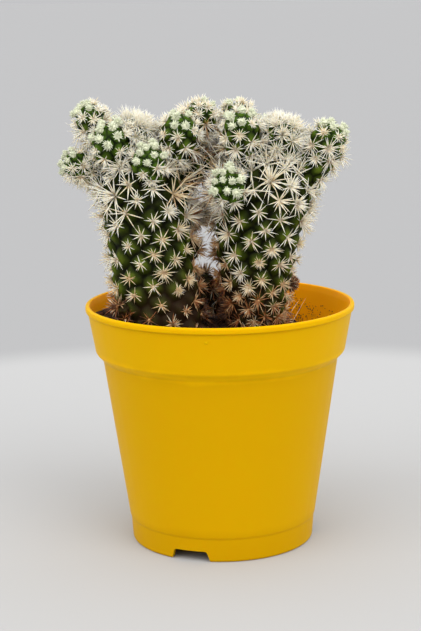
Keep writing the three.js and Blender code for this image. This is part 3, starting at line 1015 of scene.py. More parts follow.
    def build_shell(self) -> bpy.types.Object:
        """Turns the shell, and cuts the notches and drain holes out of it.

        Returns:
            The shell.
        """
        shell = Gather()
        shell.add(*turned(self.profile(), self.columns))
        made = shell.build("nursery_pot")
        cutters = Gather()
        for degrees in self.notch_angles:
            cutters.add(*self.notch_cutter(degrees))
        for i in range(self.drain_count):
            cutters.add(*self.drain_cutter(TURN * i / self.drain_count))
        knife = cutters.build("pot_cutters")
        cut = made.modifiers.new("cut", "BOOLEAN")
        cut.operation = "DIFFERENCE"
        cut.solver = "EXACT"
        cut.object = knife
        graph = bpy.context.evaluated_depsgraph_get()
        made.data = bpy.data.meshes.new_from_object(made.evaluated_get(graph))
        made.modifiers.clear()
        bpy.data.objects.remove(knife)
        made.data.polygons.foreach_set("use_smooth", [True] * len(made.data.polygons))
        made.data.set_sharp_from_angle(angle=math.radians(self.crease))
        return made

    def build_gate_mark(self) -> bpy.types.Object:
        """Makes the small nub under the lip, where the plastic ran in.

        Returns:
            The nub.
        """
        mark = Gather()
        points, faces = BALL
        out = unit(np.array([*self.gate_mark[:2], 0.0]))
        side = np.array([-out[1], out[0], 0.0])
        shaped = (points * self.gate_mark_size) @ np.stack([out, side, [0.0, 0.0, 1.0]])
        mark.add(shaped + self.gate_mark, [faces])
        return mark.build("pot_gate_mark")


# ---------------------------------------------------------------------------- compost


@dataclass
class Compost:
    """The compost that fills the pot, with loose crumbs and bark fibres on it."""

    height_on_axis: float = 67.6
    slope: float = -0.112
    lumps: float = 0.45
    sunken: float = 1.4
    sunken_across: Span = (14.0, 30.0)
    rough: tuple[tuple[float, float, int], ...] = ((0.5, 3.4, 5), (0.34, 1.7, 6), (0.2, 0.9, 7))
    rough_height: float = 0.9
    columns: int = 200
    rings: int = 70
    gap: float = 0.3
    seed: int = 41
    crumbs: int = 640
    crumb_size: Span = (0.35, 1.25)
    crumb_reach: float = 38.0
    crumb_lumps: float = 0.22
    wall_crumb_every: int = 3
    wall_crumb_size: Span = (0.1, 0.27)
    wall_crumb_heading: Span = (0.8, 0.2)  # mean and spread, in radians
    wall_crumb_rise: float = 8.0
    fibres: int = 60
    fibre_length: Span = (2.5, 7.5)
    fibre_girth: Span = (0.12, 0.25)
    fibre_reach: float = 36.0
    fibre_lift: float = 0.6  # height over the compost

    def height_at(self, points: Array) -> Array:
        """Gives the height of the surface.

        Args:
            points: x and y of each place.

        Returns:
            The height at each.
        """
        x, y = points[..., 0], points[..., 1]
        uneven = np.sin(0.42 * x + 0.9) * np.cos(0.37 * y) + np.sin(0.23 * y + 0.61 * x)
        level = self.height_on_axis + self.slope * x + self.lumps * uneven
        return level - self.sunken * smooth(x, *self.sunken_across)

    def build(self, pot: NurseryPot) -> list[bpy.types.Object]:
        """Makes the compost.

        Args:
            pot: what holds it.

        Returns:
            The one piece.
        """
        gather = Gather()
        self.add_fill(gather, pot)
        self.add_crumbs(gather, pot)
        self.add_fibres(gather, pot)
        return [dress(gather.build("compost"), PeatCompost().material(), "soil")]

    def add_fill(self, gather: Gather, pot: NurseryPot) -> None:
        """Adds the body of the compost, with a crumbly top.

        Args:
            gather: takes its mesh.
            pot: what holds it.
        """
        angle = (np.arange(self.columns) * TURN / self.columns)[None]
        round_it = np.stack([np.cos(angle), np.sin(angle)], -1)
        share = np.linspace(1, 0.02, self.rings)[:, None]
        edge = pot.inner_radius(self.height_on_axis) - self.gap
        height = self.height_at((share * edge)[..., None] * round_it)
        radius = share * (pot.inner_radius(height) - self.gap)
        top = np.concatenate([radius[..., None] * round_it, height[..., None]], -1)
        spots = top.reshape(-1, 3) * [1, 1, 0]
        rough = sum(part * waves(spots, length, seed) for part, length, seed in self.rough)
        held_flat = np.minimum(1, 12 * (1 - share))
        top[..., 2] += rough.reshape(self.rings, self.columns) * held_flat * self.rough_height
        low = pot.floor_under + pot.floor_thick + self.gap
        below = []
        for level in (low, pot.shoulder[1], pot.band_foot[1]):
            far = pot.inner_radius(level) - self.gap
            below.append(np.concatenate([far * round_it, np.full((1, self.columns, 1), level)], -1))
        rows = np.concatenate([*below, top])
        points = np.vstack([[0, 0, low], rows.reshape(-1, 3), [0, 0, self.height_on_axis]])
        gather.add(points, ring_faces(len(rows), self.columns), bark=0.0, along=0.0)

    def add_crumbs(self, gather: Gather, pot: NurseryPot) -> None:
        """Adds loose crumbs on the top, and small ones that stick to the wall above it.

        Args:
            gather: takes their mesh.
            pot: whose wall they stick to.
        """
        random = np.random.default_rng(self.seed)
        ball, faces = BALL
        for i in range(self.crumbs):
            on_wall = i % self.wall_crumb_every == 0
            size = random.uniform(*(self.wall_crumb_size if on_wall else self.crumb_size))
            angle = random.normal(*self.wall_crumb_heading) if on_wall else random.uniform(0, TURN)
            heading = np.array([math.cos(angle), math.sin(angle)])
            reach = self.crumb_reach * (1.0 if on_wall else math.sqrt(random.uniform(0.02, 1)))
            height = float(self.height_at(reach * heading))
            if on_wall:
                height += self.wall_crumb_rise * random.uniform(0, 1) ** 1.3
                reach = float(pot.inner_radius(height)) - 0.05
            lumps = 1 + self.crumb_lumps * random.normal(size=(len(ball), 1))
            scale = size * random.uniform(0.6, 1.0, 3)
            spin = np.array(Matrix.Rotation(random.uniform(0, TURN), 3, random.normal(size=3)))
            bark = random.uniform(0.6, 1.0) if on_wall else max(0.0, random.normal(0.0, 0.18))
            points = (ball * lumps * scale) @ spin.T + [*(reach * heading), height]
            gather.add(points, [faces], bark=bark, along=0.0)

    def add_fibres(self, gather: Gather, pot: NurseryPot) -> None:
        """Adds thin bark fibres that lie on the top, cut short at the wall.

        Args:
            gather: takes their mesh.
            pot: what holds them.
        """
        random = np.random.default_rng(self.seed + 1)
        count = self.fibres
        angle = random.uniform(0, TURN, count)
        reach = self.fibre_reach * np.sqrt(random.uniform(0.05, 1, count))
        base = np.stack([reach * np.cos(angle), reach * np.sin(angle), 0 * angle], -1)
        base[:, 2] = self.height_at(base[:, :2]) + self.fibre_lift
        yaw = random.uniform(0, TURN, count)
        heading = unit(np.stack([np.cos(yaw), np.sin(yaw), random.uniform(-0.1, 0.35, count)], -1))
        length = random.uniform(*self.fibre_length, count)
        tips = base + heading * length[:, None]
        room = pot.inner_radius(base[:, 2]) - 0.8 - np.hypot(tips[:, 0], tips[:, 1])
        length = np.maximum(length + np.minimum(room, 0), 0.8)
        girth = random.uniform(*self.fibre_girth, count)
        sag = np.array([[0, 0, -0.2]]) + 0.12 * random.normal(size=(count, 3))
        bark = random.uniform(0.3, 1.0, count)
        Prickles(base, heading, length, sag).add_to(gather, girth, bark=bark)


# ------------------------------------------------------------------- shoots and spines

GOLDEN_ANGLE = math.pi * (3 - math.sqrt(5))


class Growth(Enum):
    """How far an areole has grown."""

    BUD = "bud"
    YOUNG = "young"
    GROWN = "grown"
    FLEECY = "fleecy"
    TANGLED = "tangled"
    MATURE = "mature"


@dataclass(frozen=True)
class SpineHabit:
    """How one kind of areole bears its spines; tilts are degrees off its axis."""

    radials: int
    centrals: int
    radial_tilt: Span
    central_tilt: Span
    reach: float  # share of the shoot's spine length
    girth: float  # radius at the root
    stain: float  # how tan the root is
    streaky: float = 0.06  # how much the tone strays from spine to spine
    shortest: float = 0.7  # share of the reach
    longest: float = 1.12


HABITS = {
    Growth.BUD: SpineHabit(24, 14, (40, 80), (5, 40), 0.42, 0.13, 0.0),
    Growth.YOUNG: SpineHabit(19, 9, (36, 84), (6, 36), 0.74, 0.19, 0.35),
    Growth.GROWN: SpineHabit(19, 9, (40, 84), (8, 38), 1.12, 0.18, 0.4),
    Growth.FLEECY: SpineHabit(38, 24, (26, 84), (5, 35), 1.2, 0.17, 0.0),
    Growth.TANGLED: SpineHabit(17, 8, (20, 86), (5, 40), 1.6, 0.17, 0.4, 0.28, 0.35),
    Growth.MATURE: SpineHabit(17, 8, (40, 84), (8, 38), 1.04, 0.175, 0.6),
}


@dataclass
class Burst:
    """The spines that one areole is to bear."""

    habit: SpineHabit
    reach: float
    girth: float
    stain: float
    streaky: float
    radials: float
    centrals: int
    tone: float = 0.0  # from cream at 0 to dead brown at 1


class Outline:
    """A smooth outline through points of radius and height, measured by arc length."""

    steps_each = 60

    def __init__(self, corners: Sequence[Sequence[float]]) -> None:
        """Measures the outline.

        Args:
            corners: radius and height of the points it passes through.
        """
        knots = np.array(corners, float)
        ends = np.vstack([knots[:1], knots, knots[-1:]])
        t = np.linspace(0, 1, self.steps_each, endpoint=False)[:, None]
        pieces = []
        for i in range(len(knots) - 1):
            before, start, end, after = ends[i : i + 4]
            leave, arrive = (end - before) / 2, (after - start) / 2
            cubic = 2 * (start - end) + leave + arrive
            square = 3 * (end - start) - 2 * leave - arrive
            pieces.append(cubic * t**3 + square * t**2 + leave * t + start)
        self.points = np.vstack([*pieces, knots[-1:]])
        chords = np.linalg.norm(np.diff(self.points, axis=0), axis=1)
        self.arcs = np.concatenate([[0], np.cumsum(chords)])
        self.length = float(self.arcs[-1])
        self.tangents = unit(np.gradient(self.points, self.arcs, axis=0))

    def at(self, arc: Array) -> tuple[Array, Array, Array, Array]:
        """Gives the radius, the height and the two parts of the heading at those arc lengths."""
        columns = (self.points[:, 0], self.points[:, 1], self.tangents[:, 0], self.tangents[:, 1])
        return tuple(np.interp(arc, self.arcs, column) for column in columns)


@dataclass(frozen=True)
class Placement:
    """Moves points from a shoot's own frame, with Z along the shoot, to the pot's."""

    origin: Array
    turn: Array = field(default_factory=lambda: np.eye(3))
    lean: float = 0.0
    bend: float = 0.0

    def out(self, points: Array) -> Array:
        """Moves points to the pot's frame.

        Args:
            points: places in the shoot's own frame.

        Returns:
            The same places in the pot's frame.
        """
        moved = points @ self.turn.T + self.origin
        climb = points[..., 2]
        moved[..., 0] += self.lean * climb + self.bend * climb * climb
        return moved

    def back(self, points: Array) -> Array:
        """Moves points to the shoot's own frame.

        Args:
            points: places in the pot's frame.

        Returns:
            The same places in the shoot's own frame.
        """
        moved = points - self.origin
        climb = moved[..., 2].copy()
        moved[..., 0] -= self.lean * climb + self.bend * climb * climb
        return moved @ self.turn

    def heading(self, points: Array, directions: Array) -> Array:
        """Turns directions at those points to the pot's frame."""
        step = 1e-3
        return unit(self.out(points + step * directions) - self.out(points))


@dataclass
class Areole:
    """One areole, in the pot's frame."""

    place: Array
    out: Array
    up: Array
    spacing: float
    from_crown: float


@dataclass
class Shoot:
    """One tubercled body, set out on a spiral lattice."""

    outline: Outline
    placement: Placement
    pitch: float
    bud_radius: float
    last_radius: float
    depth: float  # of the furrows, as a share of the radius
    cell: float
    stray: float  # how far tubercles stray from the spiral, as a share of their spacing

    chunk: ClassVar[int] = 4000  # points measured at once
    neighbours: ClassVar[int] = 6  # tubercles that shape a point
    blend: ClassVar[int] = 10  # how sharply the nearest neighbour counts
    roundness: ClassVar[float] = 1.9
    vigour: ClassVar[Span] = (0.88, 1.12)
    uneven_mm: ClassVar[float] = 7.0
    uneven: ClassVar[float] = 0.01  # share of the greatest radius

    def lattice(self) -> tuple[Array, Array, Array]:
        """Sets out the tubercles.

        Returns:
            Arc length, angle and spacing of each, from the buried end to the crown.
        """
        arcs, spacings = [], []
        arc = 0.0
        while arc < self.outline.length:
            radius = float(self.outline.at(arc)[0])
            upper = arc > self.outline.length / 2
            if upper and radius < self.last_radius:
                break
            scale = max(radius, self.bud_radius) if upper else radius
            arcs.append(arc)
            spacings.append(math.sqrt(TURN * self.pitch) * scale)
            arc += self.pitch * scale * scale / radius
        arcs, spacings = np.array(arcs), np.array(spacings)
        random = np.random.default_rng(len(arcs))
        shift = self.stray * spacings * random.uniform(-1, 1, (2, len(arcs)))
        radii = np.maximum(self.outline.at(arcs)[0], 1.0)
        angles = np.arange(len(arcs)) * GOLDEN_ANGLE + shift[1] / radii
        return np.clip(arcs + shift[0], 0, self.outline.length), angles, spacings

    def surface(self, arc: Array, angle: Array, sunk: Array | float = 0.0) -> tuple[Array, Array, Array]:
        """Finds points on the shoot in its own frame.

        Args:
            arc: distance along the outline.
            angle: direction round the shoot.
            sunk: depth below the tubercle tips.

        Returns:
            The points, the outward directions and the directions of growth.
        """
        radius, height, run, rise = self.outline.at(arc)
        cos, sin = np.cos(angle), np.sin(angle)
        far = radius - sunk * rise
        points = np.stack(np.broadcast_arrays(far * cos, far * sin, height + sunk * run), -1)
        out = np.stack(np.broadcast_arrays(rise * cos, rise * sin, -run), -1)
        up = np.stack(np.broadcast_arrays(run * cos, run * sin, rise), -1)
        return points, out, up

    def areoles(self) -> list[Areole]:
        """Gives the areoles on the tubercle tips.

        Returns:
            One for each tubercle, from the buried end to the crown.
        """
        arcs, angles, spacings = self.lattice()
        points, out, up = self.surface(arcs, angles)
        facing = [self.placement.heading(points, directions) for directions in (out, up)]
        rows = zip(self.placement.out(points), *facing, spacings, self.outline.length - arcs)
        return [Areole(*row) for row in rows]

    def crest(self, points: Array, seed: int) -> Array:
        """Finds how near to the middle of a tubercle points are.

        Args:
            points: places on the shoot, in its own frame.
            seed: choice of how much each tubercle swells.

        Returns:
            About 1 at a tubercle's tip, and 0 where it meets its neighbour.
        """
        tips, angles, spacings = self.lattice()
        centres = self.surface(tips, angles)[0]
        vigour = np.random.default_rng(seed).uniform(*self.vigour, len(tips))
        crest = np.empty(len(points))
        for start in range(0, len(points), self.chunk):
            chunk = slice(start, start + self.chunk)
            far = np.linalg.norm(points[chunk, None] - centres[None], axis=2) / spacings
            order = np.argpartition(far, self.neighbours - 1, axis=1)[:, : self.neighbours]
            near = np.take_along_axis(far, order, 1)
            first = near.argmin(1)[:, None]
            closest = np.take_along_axis(near, first, 1)[:, 0]
            np.put_along_axis(near, first, np.inf, 1)
            second = (near**-self.blend).sum(1) ** (-1 / self.blend)
            edge = np.clip((second - closest) / (second + closest), 0, 1)
            owner = np.take_along_axis(order, first, 1)[:, 0]
            crest[chunk] = (1 - (1 - edge) ** self.roundness) * vigour[owner]
        return crest

    def flesh(self, lowest: float, seed: int) -> tuple[Array, list[Array], Array, Array]:
        """Makes the fleshy body.

        Args:
            lowest: arc length at which the mesh starts.
            seed: choice of the small unevenness.

        Returns:
            Points in the pot's frame, faces, relief from furrow 0 to crest 1, and arc
            length from the crown at each point.
        """
        widest = self.outline.points[:, 0].max()
        rows = max(12, round((self.outline.length - lowest) / self.cell))
        columns = round(TURN * widest / self.cell)
        arc = np.linspace(lowest, self.outline.length, rows)[:, None]
        angle = (np.arange(columns) * TURN / columns)[None]
        base = self.surface(arc, angle)[0].reshape(-1, 3)
        crest = self.crest(base, seed)
        radius = np.maximum(self.outline.at(arc)[0], self.bud_radius * 0.8)
        sunk = (1 - crest.reshape(rows, columns)) * self.depth * radius
        uneven = waves(base, self.uneven_mm, seed).reshape(rows, columns) * self.uneven * widest
        local = self.surface(arc, angle, sunk + uneven)[0].reshape(-1, 3)
        ends = local[:columns].mean(0), local[-columns:].mean(0)
        points = self.placement.out(np.vstack([ends[0], local, ends[1]]))
        relief = np.concatenate([[0], np.clip(crest, 0, 1), [1]])
        from_crown = np.repeat(self.outline.length - arc[:, 0], columns)
        from_crown = np.concatenate([[self.outline.length], from_crown, [0]])
        return points, ring_faces(rows, columns), relief, from_crown

    def gap_to(self, points: Array) -> Array:
        """Gives the rough distance of points from the shoot.

        Args:
            points: where to measure from, in the pot's frame.

        Returns:
            One distance a point, less than 0 inside the shoot.
        """
        local = self.placement.back(points)
        across = np.hypot(local[..., 0], local[..., 1])
        heights = self.outline.points[:, 1]
        height = np.clip(local[..., 2], heights[0], heights[-1])
        beyond = np.abs(local[..., 2] - height)
        beside = across - np.interp(height, heights, self.outline.points[:, 0])
        return np.where(beyond > 0, np.hypot(beyond, np.maximum(beside, 0)), beside)


@dataclass(frozen=True)
class OffsetPlan:
    """One young offset: where it roots, where its head's centre is, and its radius."""

    root: Point
    head: Point
    radius: float
    fresh: float = 0.45
    coat: Growth | None = None  # the kind of all its areoles, if they are of one kind
    tone: float = 0.05

    dome: ClassVar[tuple[Span, ...]] = ((1, -0.25), (0.97, 0.2), (0.8, 0.62), (0.5, 0.88), (0.2, 0.98))
    top: ClassVar[Span] = (0.02, 1.0)
    neck: ClassVar[float] = 0.82
    pitch: ClassVar[float] = 0.105

    # Distances from the crown, in radii.
    fleece_from: ClassVar[float] = 0.3
    buds_within: ClassVar[float] = 0.62
    buds_if_fresh: ClassVar[float] = 0.5  # this much further on a fresh offset
    young_within: ClassVar[float] = 1.5
    neck_from: ClassVar[float] = 2.6
    fresh_over: ClassVar[Span] = (1.9, 0.4)
    green_over: ClassVar[Span] = (4.2, 2.2)

    @property
    def dried(self) -> bool:
        """Tells whether it is an old pup that has dried up."""
        return self.coat is Growth.MATURE

    def shoot(self) -> Shoot:
        """Sets out the offset's body.

        Returns:
            The body, with its frame's origin at the middle of its head.
        """
        root, head = np.array(self.root, float), np.array(self.head, float)
        along = head - root
        length = float(np.linalg.norm(along))
        swing = Vector((0, 0, 1)).rotation_difference(Vector(along))
        buried = -length - 6 * self.pitch * self.neck * self.radius
        corners = [(self.neck * self.radius, buried), (self.neck * self.radius, -length)]
        corners += [(r * self.radius, h * self.radius) for r, h in (*self.dome, self.top)]
        return Shoot(
            outline=Outline(corners),
            placement=Placement(head, np.array(swing.to_matrix())),
            pitch=self.pitch,
            bud_radius=0.66 * self.radius,
            last_radius=0.2 * self.radius,
            depth=0.18,
            cell=0.4,
            stray=0.12,
        )

    def growth(self, from_crown: float) -> Growth:
        """Tells how far an areole has grown.

        Args:
            from_crown: its distance from the crown.

        Returns:
            The growth.
        """
        share = from_crown / self.radius
        if self.coat is Growth.FLEECY:
            return Growth.YOUNG if share < self.fleece_from else Growth.FLEECY
        if self.coat:
            return self.coat
        if share < self.buds_within + self.buds_if_fresh * self.fresh:
            return Growth.BUD
        return Growth.YOUNG if share < self.young_within else Growth.GROWN

    def bare(self, number: int, from_crown: float) -> bool:
        """Tells if an areole bears nothing: every second one on the neck, two in three once dried."""
        on_neck = from_crown > self.neck_from * self.radius
        return bool((on_neck and number % 2) or (self.dried and number % 3))

    def suit(self, burst: Burst, random: Random) -> None:
        """Fits a burst of spines to the offset.

        Args:
            burst: the spines.
            random: source of chance.
        """
        burst.tone = self.tone + random.normal(0.0, 0.05)
        burst.reach *= min(1.0, 0.45 + 0.13 * self.radius) * (1.2 if self.dried else 1.0)
        burst.streaky += 0.3 * self.tone
        burst.radials *= 0.65 if self.tone > 0.5 else 1.0


# ------------------------------------------------------------------------- the plants


@dataclass(frozen=True)
class Surroundings:
    """What a plant's spines keep out of: the plant beside it, the compost and the pot."""

    neighbour: "CactusPlant"
    compost: Compost
    pot: NurseryPot
    crowded_gaps: Span = (15.0, 7.0)  # where crowding starts, and is full
    areole_room: float = 0.3  # height over the compost at which areoles start
    tip_room: float = 0.4  # what a tip keeps from the compost and the wall
    rim_room: float = 0.6  # height over the rim at which a tip may pass over the wall

    def crowding(self, place: Array) -> float:
        """Tells how much the plant beside it crowds a place, from 0 to 1."""
        return float(smooth(self.neighbour.gap_to(place[None])[0], *self.crowded_gaps))

    def buried(self, place: Array) -> bool:
        """Tells whether a place is in the compost or just over it."""
        return bool(place[2] < self.compost.height_at(place[:2]) + self.areole_room)

    def clear(self, tips: Array) -> Array:
        """Tells which spines are free of the surroundings.

        Args:
            tips: where they end.

        Returns:
            One truth value a spine.
        """
        free = self.neighbour.gap_to(tips) > 0
        free &= tips[:, 2] > self.compost.height_at(tips[:, :2]) + self.tip_room
        room = self.pot.inner_radius(tips[:, 2]) - self.tip_room
        inside = np.hypot(tips[:, 0], tips[:, 1]) < room
        free &= inside | (tips[:, 2] > self.pot.height + self.rim_room)
        return free & inside_box(tips)


@dataclass
class CactusPlant:
    """One plant: its main stem, its offsets, and the spines and wool on them."""

    name: str
    seed: int
    foot: Point
    lean: float
    bend: float
    profile: tuple[Span, ...]
    offsets: tuple[OffsetPlan, ...]
    cork_side: float  # how much more cork there is on the side of -X
    strays: tuple[tuple[Point, Point], ...] = ()  # root and tip of each loose spine
    pitch: float = 0.0345
    foot_spine: float = 3.25
    crown_spine: float = 6.3
    offset_spine: float = 3.8
    old_heights: Span = (88.0, 71.0)  # spines start to brown, and are brown
    grown_heights: Span = (88.0, 118.0)  # spines start to lengthen, and are full grown
    rust_across: Span = (20.0, 26.0)  # the far side, where more spines rust
    rust_heights: Span = (92.0, 80.0)
    tangle_height: float = 98.0  # crowded spines tangle over it
    shaded_heights: Span = (97.0, 112.0)  # the stem's flesh is painted darker among the offsets, as painted shade
    cork_height: float = 82.0
    cork_swing: float = 8.0  # how much higher it is on its side
    cork_fade: Span = (8.0, -9.0)  # over its height where it starts, and is full
    stem_radius: float = 14.0
    flesh_buried: float = 5.0  # how far the stem's body goes on under the compost
    hidden_depth: float = 0.4  # how deep in another shoot an areole is left out
    stem_pad: float = 0.6  # radius of the felt on an areole
    offset_pad: float = 0.45
    old_tone: float = 0.52
    rust_tone: float = 0.3
    gap_shade_heights: Span = (115.0, 92.0)  # crowded spines are painted darker downwards, as painted shade between the stems
    fullness: tuple[float, ...] = (0.6, 0.75, 0.9, 1.4)  # of bursts on the stem, by chance
    shoots: list[Shoot] = field(default_factory=list)

    def __post_init__(self) -> None:
        """Sets out the shoots."""
        radius, low = self.profile[0]
        buried = (radius, low - 6 * self.pitch * radius)
        stem = Shoot(
            outline=Outline([buried, *self.profile, (0.3, self.profile[-1][1] + 0.6)]),
            placement=Placement(np.array(self.foot, float), lean=self.lean, bend=self.bend),
            pitch=self.pitch,
            bud_radius=4.5,
            last_radius=2.0,
            depth=0.13,
            cell=0.5,
            stray=0.16,
        )
        self.shoots = [stem, *(plan.shoot() for plan in self.offsets)]

    def gap_to(self, points: Array, leave_out: int | None = None) -> Array:
        """Gives the rough distance of points from all shoots but one, less than 0 inside them."""
        gaps = [shoot.gap_to(points) for i, shoot in enumerate(self.shoots) if i != leave_out]
        return np.min(gaps, axis=0)

    def build(self, around: Surroundings) -> list[bpy.types.Object]:
        """Makes the plant's pieces.

        Args:
            around: what its spines keep out of.

        Returns:
            Flesh and spines of the stem and of the offsets, and the wool.
        """
        stem_spines, offset_spines, wool = Gather(), Gather(), Gather()
        for index in range(len(self.shoots)):
            self.grow_spines(index, offset_spines if index else stem_spines, wool, around)
        self.add_strays(stem_spines)
        skin, horn, felt = (finish.material() for finish in (CactusSkin(), HornSpine(), AreoleWool()))
        parts = (
            ("stem_flesh", self.stem_flesh(around.compost), skin, "cactus_flesh"),
            ("offset_flesh", self.offset_flesh(), skin, "cactus_flesh"),
            ("stem_spines", stem_spines, horn, "cactus_spines"),
            ("offset_spines", offset_spines, horn, "cactus_spines"),
            ("wool", wool, felt, "cactus_spines"),
        )
        return [
            dress(gather.build(f"{self.name}_{label}"), finish, self.name)
            for label, gather, finish, slot in parts
        ]

    def stem_flesh(self, compost: Compost) -> Gather:
        """Makes the main stem's body, from just under the compost upwards.

        Args:
            compost: what it stands in.

        Returns:
            The body's mesh.
        """
        stem = self.shoots[0]
        height = compost.height_at(np.array(self.foot[:2])) - self.foot[2] - self.flesh_buried
        lowest = float(np.interp(height, stem.outline.points[:, 1], stem.outline.arcs))
        points, faces, relief, _ = stem.flesh(lowest, self.seed)
        axis = stem.placement.out((points - self.foot) * [0, 0, 1])
        sided = self.cork_side * (axis[:, 0] - points[:, 0]) / self.stem_radius
        reach = self.cork_height + self.cork_swing * sided
        start, full = (reach + past for past in self.cork_fade)
        cork = smooth(points[:, 2], start, full) * (0.85 + 0.25 * sided)
        # painted shade: the relief, and so the green, is painted darker high on the stem among the offsets
        lit = 1 - 0.5 * smooth(points[:, 2], *self.shaded_heights)
        gather = Gather()
        gather.add(points, faces, relief=relief * lit, fresh=0.0, cork=np.clip(cork, 0, 0.96))
        return gather

    def offset_flesh(self) -> Gather:
        """Makes the offsets' bodies.

        Returns:
            Their mesh.
        """
        gather = Gather()
        for index, (plan, shoot) in enumerate(zip(self.offsets, self.shoots[1:])):
            points, faces, relief, from_crown = shoot.flesh(0.0, self.seed + 31 * index)
            share = from_crown / plan.radius
            fresh = plan.fresh + (1 - plan.fresh) * smooth(share, *plan.fresh_over)
            fresh *= smooth(share, *plan.green_over)
            gather.add(points, faces, relief=relief, fresh=fresh, cork=0.9 if plan.tone > 0.5 else 0.0)
        return gather

    def grow_spines(self, index: int, spines: Gather, wool: Gather, around: Surroundings) -> None:
        """Grows the spines and wool of one shoot.

        Args:
            index: number of the shoot; the main stem's is 0.
            spines: takes the spines.
            wool: takes the wool.
            around: what the spines keep out of.
        """
        random = np.random.default_rng(self.seed * 100 + index)
        plan = self.offsets[index - 1] if index else None
        areoles = self.shoots[index].areoles()
        places = np.array([areole.place for areole in areoles])
        hidden = self.gap_to(places, leave_out=index) < -self.hidden_depth
        for number, areole in enumerate(areoles):
            if hidden[number] or around.buried(areole.place):
                continue
            if plan and plan.bare(number, areole.from_crown):
                continue
            growth = plan.growth(areole.from_crown) if plan else Growth.MATURE
            crowding = around.crowding(areole.place)
            tangling = crowding > 0.5 and areole.place[2] > self.tangle_height
            if tangling and growth in (Growth.MATURE, Growth.GROWN):
                growth = Growth.TANGLED
            burst = self.plan_burst(plan, HABITS[growth], areole.place, crowding, random)
            prickles = self.set_out(burst, areole, random)
            if growth is Growth.BUD:
                self.add_tuft(wool, areole, prickles.heading, random)
                continue
            free = self.gap_to(prickles.reached(), leave_out=index) > 0
            free &= self.gap_to(prickles.reached(0.55), leave_out=index) > -0.3
            free &= around.clear(prickles.reached())
            count = free.sum()
            prickles.only(free).add_to(
                spines,
                burst.girth * random.uniform(0.85, 1.1, count),
                tone=np.clip(burst.tone + random.normal(0, burst.streaky, count), 0, 1),
                stain=np.full(count, burst.stain),
            )
            self.add_pad(wool, areole, self.offset_pad if plan else self.stem_pad, 0.2 + burst.tone)

    def plan_burst(
        self, plan: OffsetPlan | None, habit: SpineHabit, place: Array, crowding: float, random: Random
    ) -> Burst:
        """Settles what spines an areole bears.

        Args:
            plan: the offset that it is on, or None for the main stem.
            habit: how its kind bears them.
            place: where it is.
            crowding: how much the plant beside it crowds it.
            random: source of chance.

        Returns:
            The spines.
        """
        burst = Burst(
            habit=habit,
            reach=self.offset_spine,
            girth=habit.girth,
            stain=habit.stain,
            streaky=habit.streaky,
            radials=habit.radials * random.uniform(0.8, 1.15),
            centrals=habit.centrals + int(random.integers(0, 2)),
        )
        if plan:
            plan.suit(burst, random)
        else:
            self.suit_stem(burst, place, crowding, random)
        burst.reach *= habit.reach * random.uniform(0.8, 1.2)
        burst.radials = max(6, round(burst.radials))
        return burst

    def suit_stem(self, burst: Burst, place: Array, crowding: float, random: Random) -> None:
        """Fits a burst of spines to its place on the main stem.

        Spines near the compost are short, brown and uneven; those near the crown are
        long and cream.

        Args:
            burst: the spines.
            place: where they grow.
            crowding: how much the plant beside it crowds them.
            random: source of chance.
        """
        grown = float(smooth(place[2], *self.grown_heights))
        old = float(smooth(place[2], *self.old_heights))
        rusty = smooth(place[0], *self.rust_across) * smooth(place[2], *self.rust_heights)
        aged = self.old_tone * old + self.rust_tone * (self.cork_side * float(rusty))
        burst.tone = random.normal(0.15 - 0.14 * grown, 0.07) + aged * random.uniform(0.8, 1.2)
        # crowded spines get a tan tone, and a darker one lower down between the stems, which is painted shade
        burst.tone += (0.15 + 0.25 * float(smooth(place[2], *self.gap_shade_heights))) * crowding
        burst.reach = self.foot_spine + (self.crown_spine - self.foot_spine) * grown
        burst.reach *= random.uniform(0.7 + 0.15 * old, 1.18) * (1 + 0.3 * crowding * grown)
        burst.girth *= 1.0 + 0.5 * grown
        burst.stain *= 1 - 0.85 * grown
        fullness = random.choice(self.fullness)
        burst.radials *= fullness * (1 - 0.22 * grown)
        burst.centrals = round(burst.centrals * fullness**1.5)
        burst.streaky += 0.12 * old

    @staticmethod
    def set_out(burst: Burst, areole: Areole, random: Random) -> Prickles:
        """Sets out the spines of an areole: the radials spread flat, the centrals stand up.

        Args:
            burst: what spines it bears.
            areole: where they grow.
            random: source of chance.

        Returns:
            The spines.
        """
        habit, radials = burst.habit, int(burst.radials)
        total = radials + burst.centrals
        roll = random.uniform(0, TURN)
        azimuth = roll + (np.arange(total) + random.uniform(-0.45, 0.45, total)) * TURN / radials
        tilts = [
            random.uniform(*habit.radial_tilt, radials),
            random.uniform(*habit.central_tilt, burst.centrals),
        ]
        tilt = np.radians(np.concatenate(tilts))[:, None]
        side = np.cross(areole.out, areole.up)
        flat = np.cos(azimuth)[:, None] * areole.up + np.sin(azimuth)[:, None] * side
        return Prickles(
            base=areole.place - 0.1 * areole.out + flat * 0.22,
            heading=unit(np.cos(tilt) * areole.out + np.sin(tilt) * flat),
            length=burst.reach * random.uniform(habit.shortest, habit.longest, total),
            sag=-areole.out * random.uniform(0.0, 0.09, (total, 1)) + 0.03 * random.normal(size=(total, 3)),
        )

    def add_strays(self, spines: Gather) -> None:
        """Adds the few long old spines that hang loose at the foot.

        Args:
            spines: takes them.
        """
        if not self.strays:
            return
        ends = np.array(self.strays, float)
        along = ends[:, 1] - ends[:, 0]
        count = len(ends)
        lengths = np.linalg.norm(along, axis=1)
        loose = Prickles(ends[:, 0], unit(along), lengths, np.full((count, 3), 0.03))
        tone, stain = np.full(count, 0.3), np.full(count, 0.2)
        loose.add_to(spines, np.full(count, 0.1), tone=tone, stain=stain)

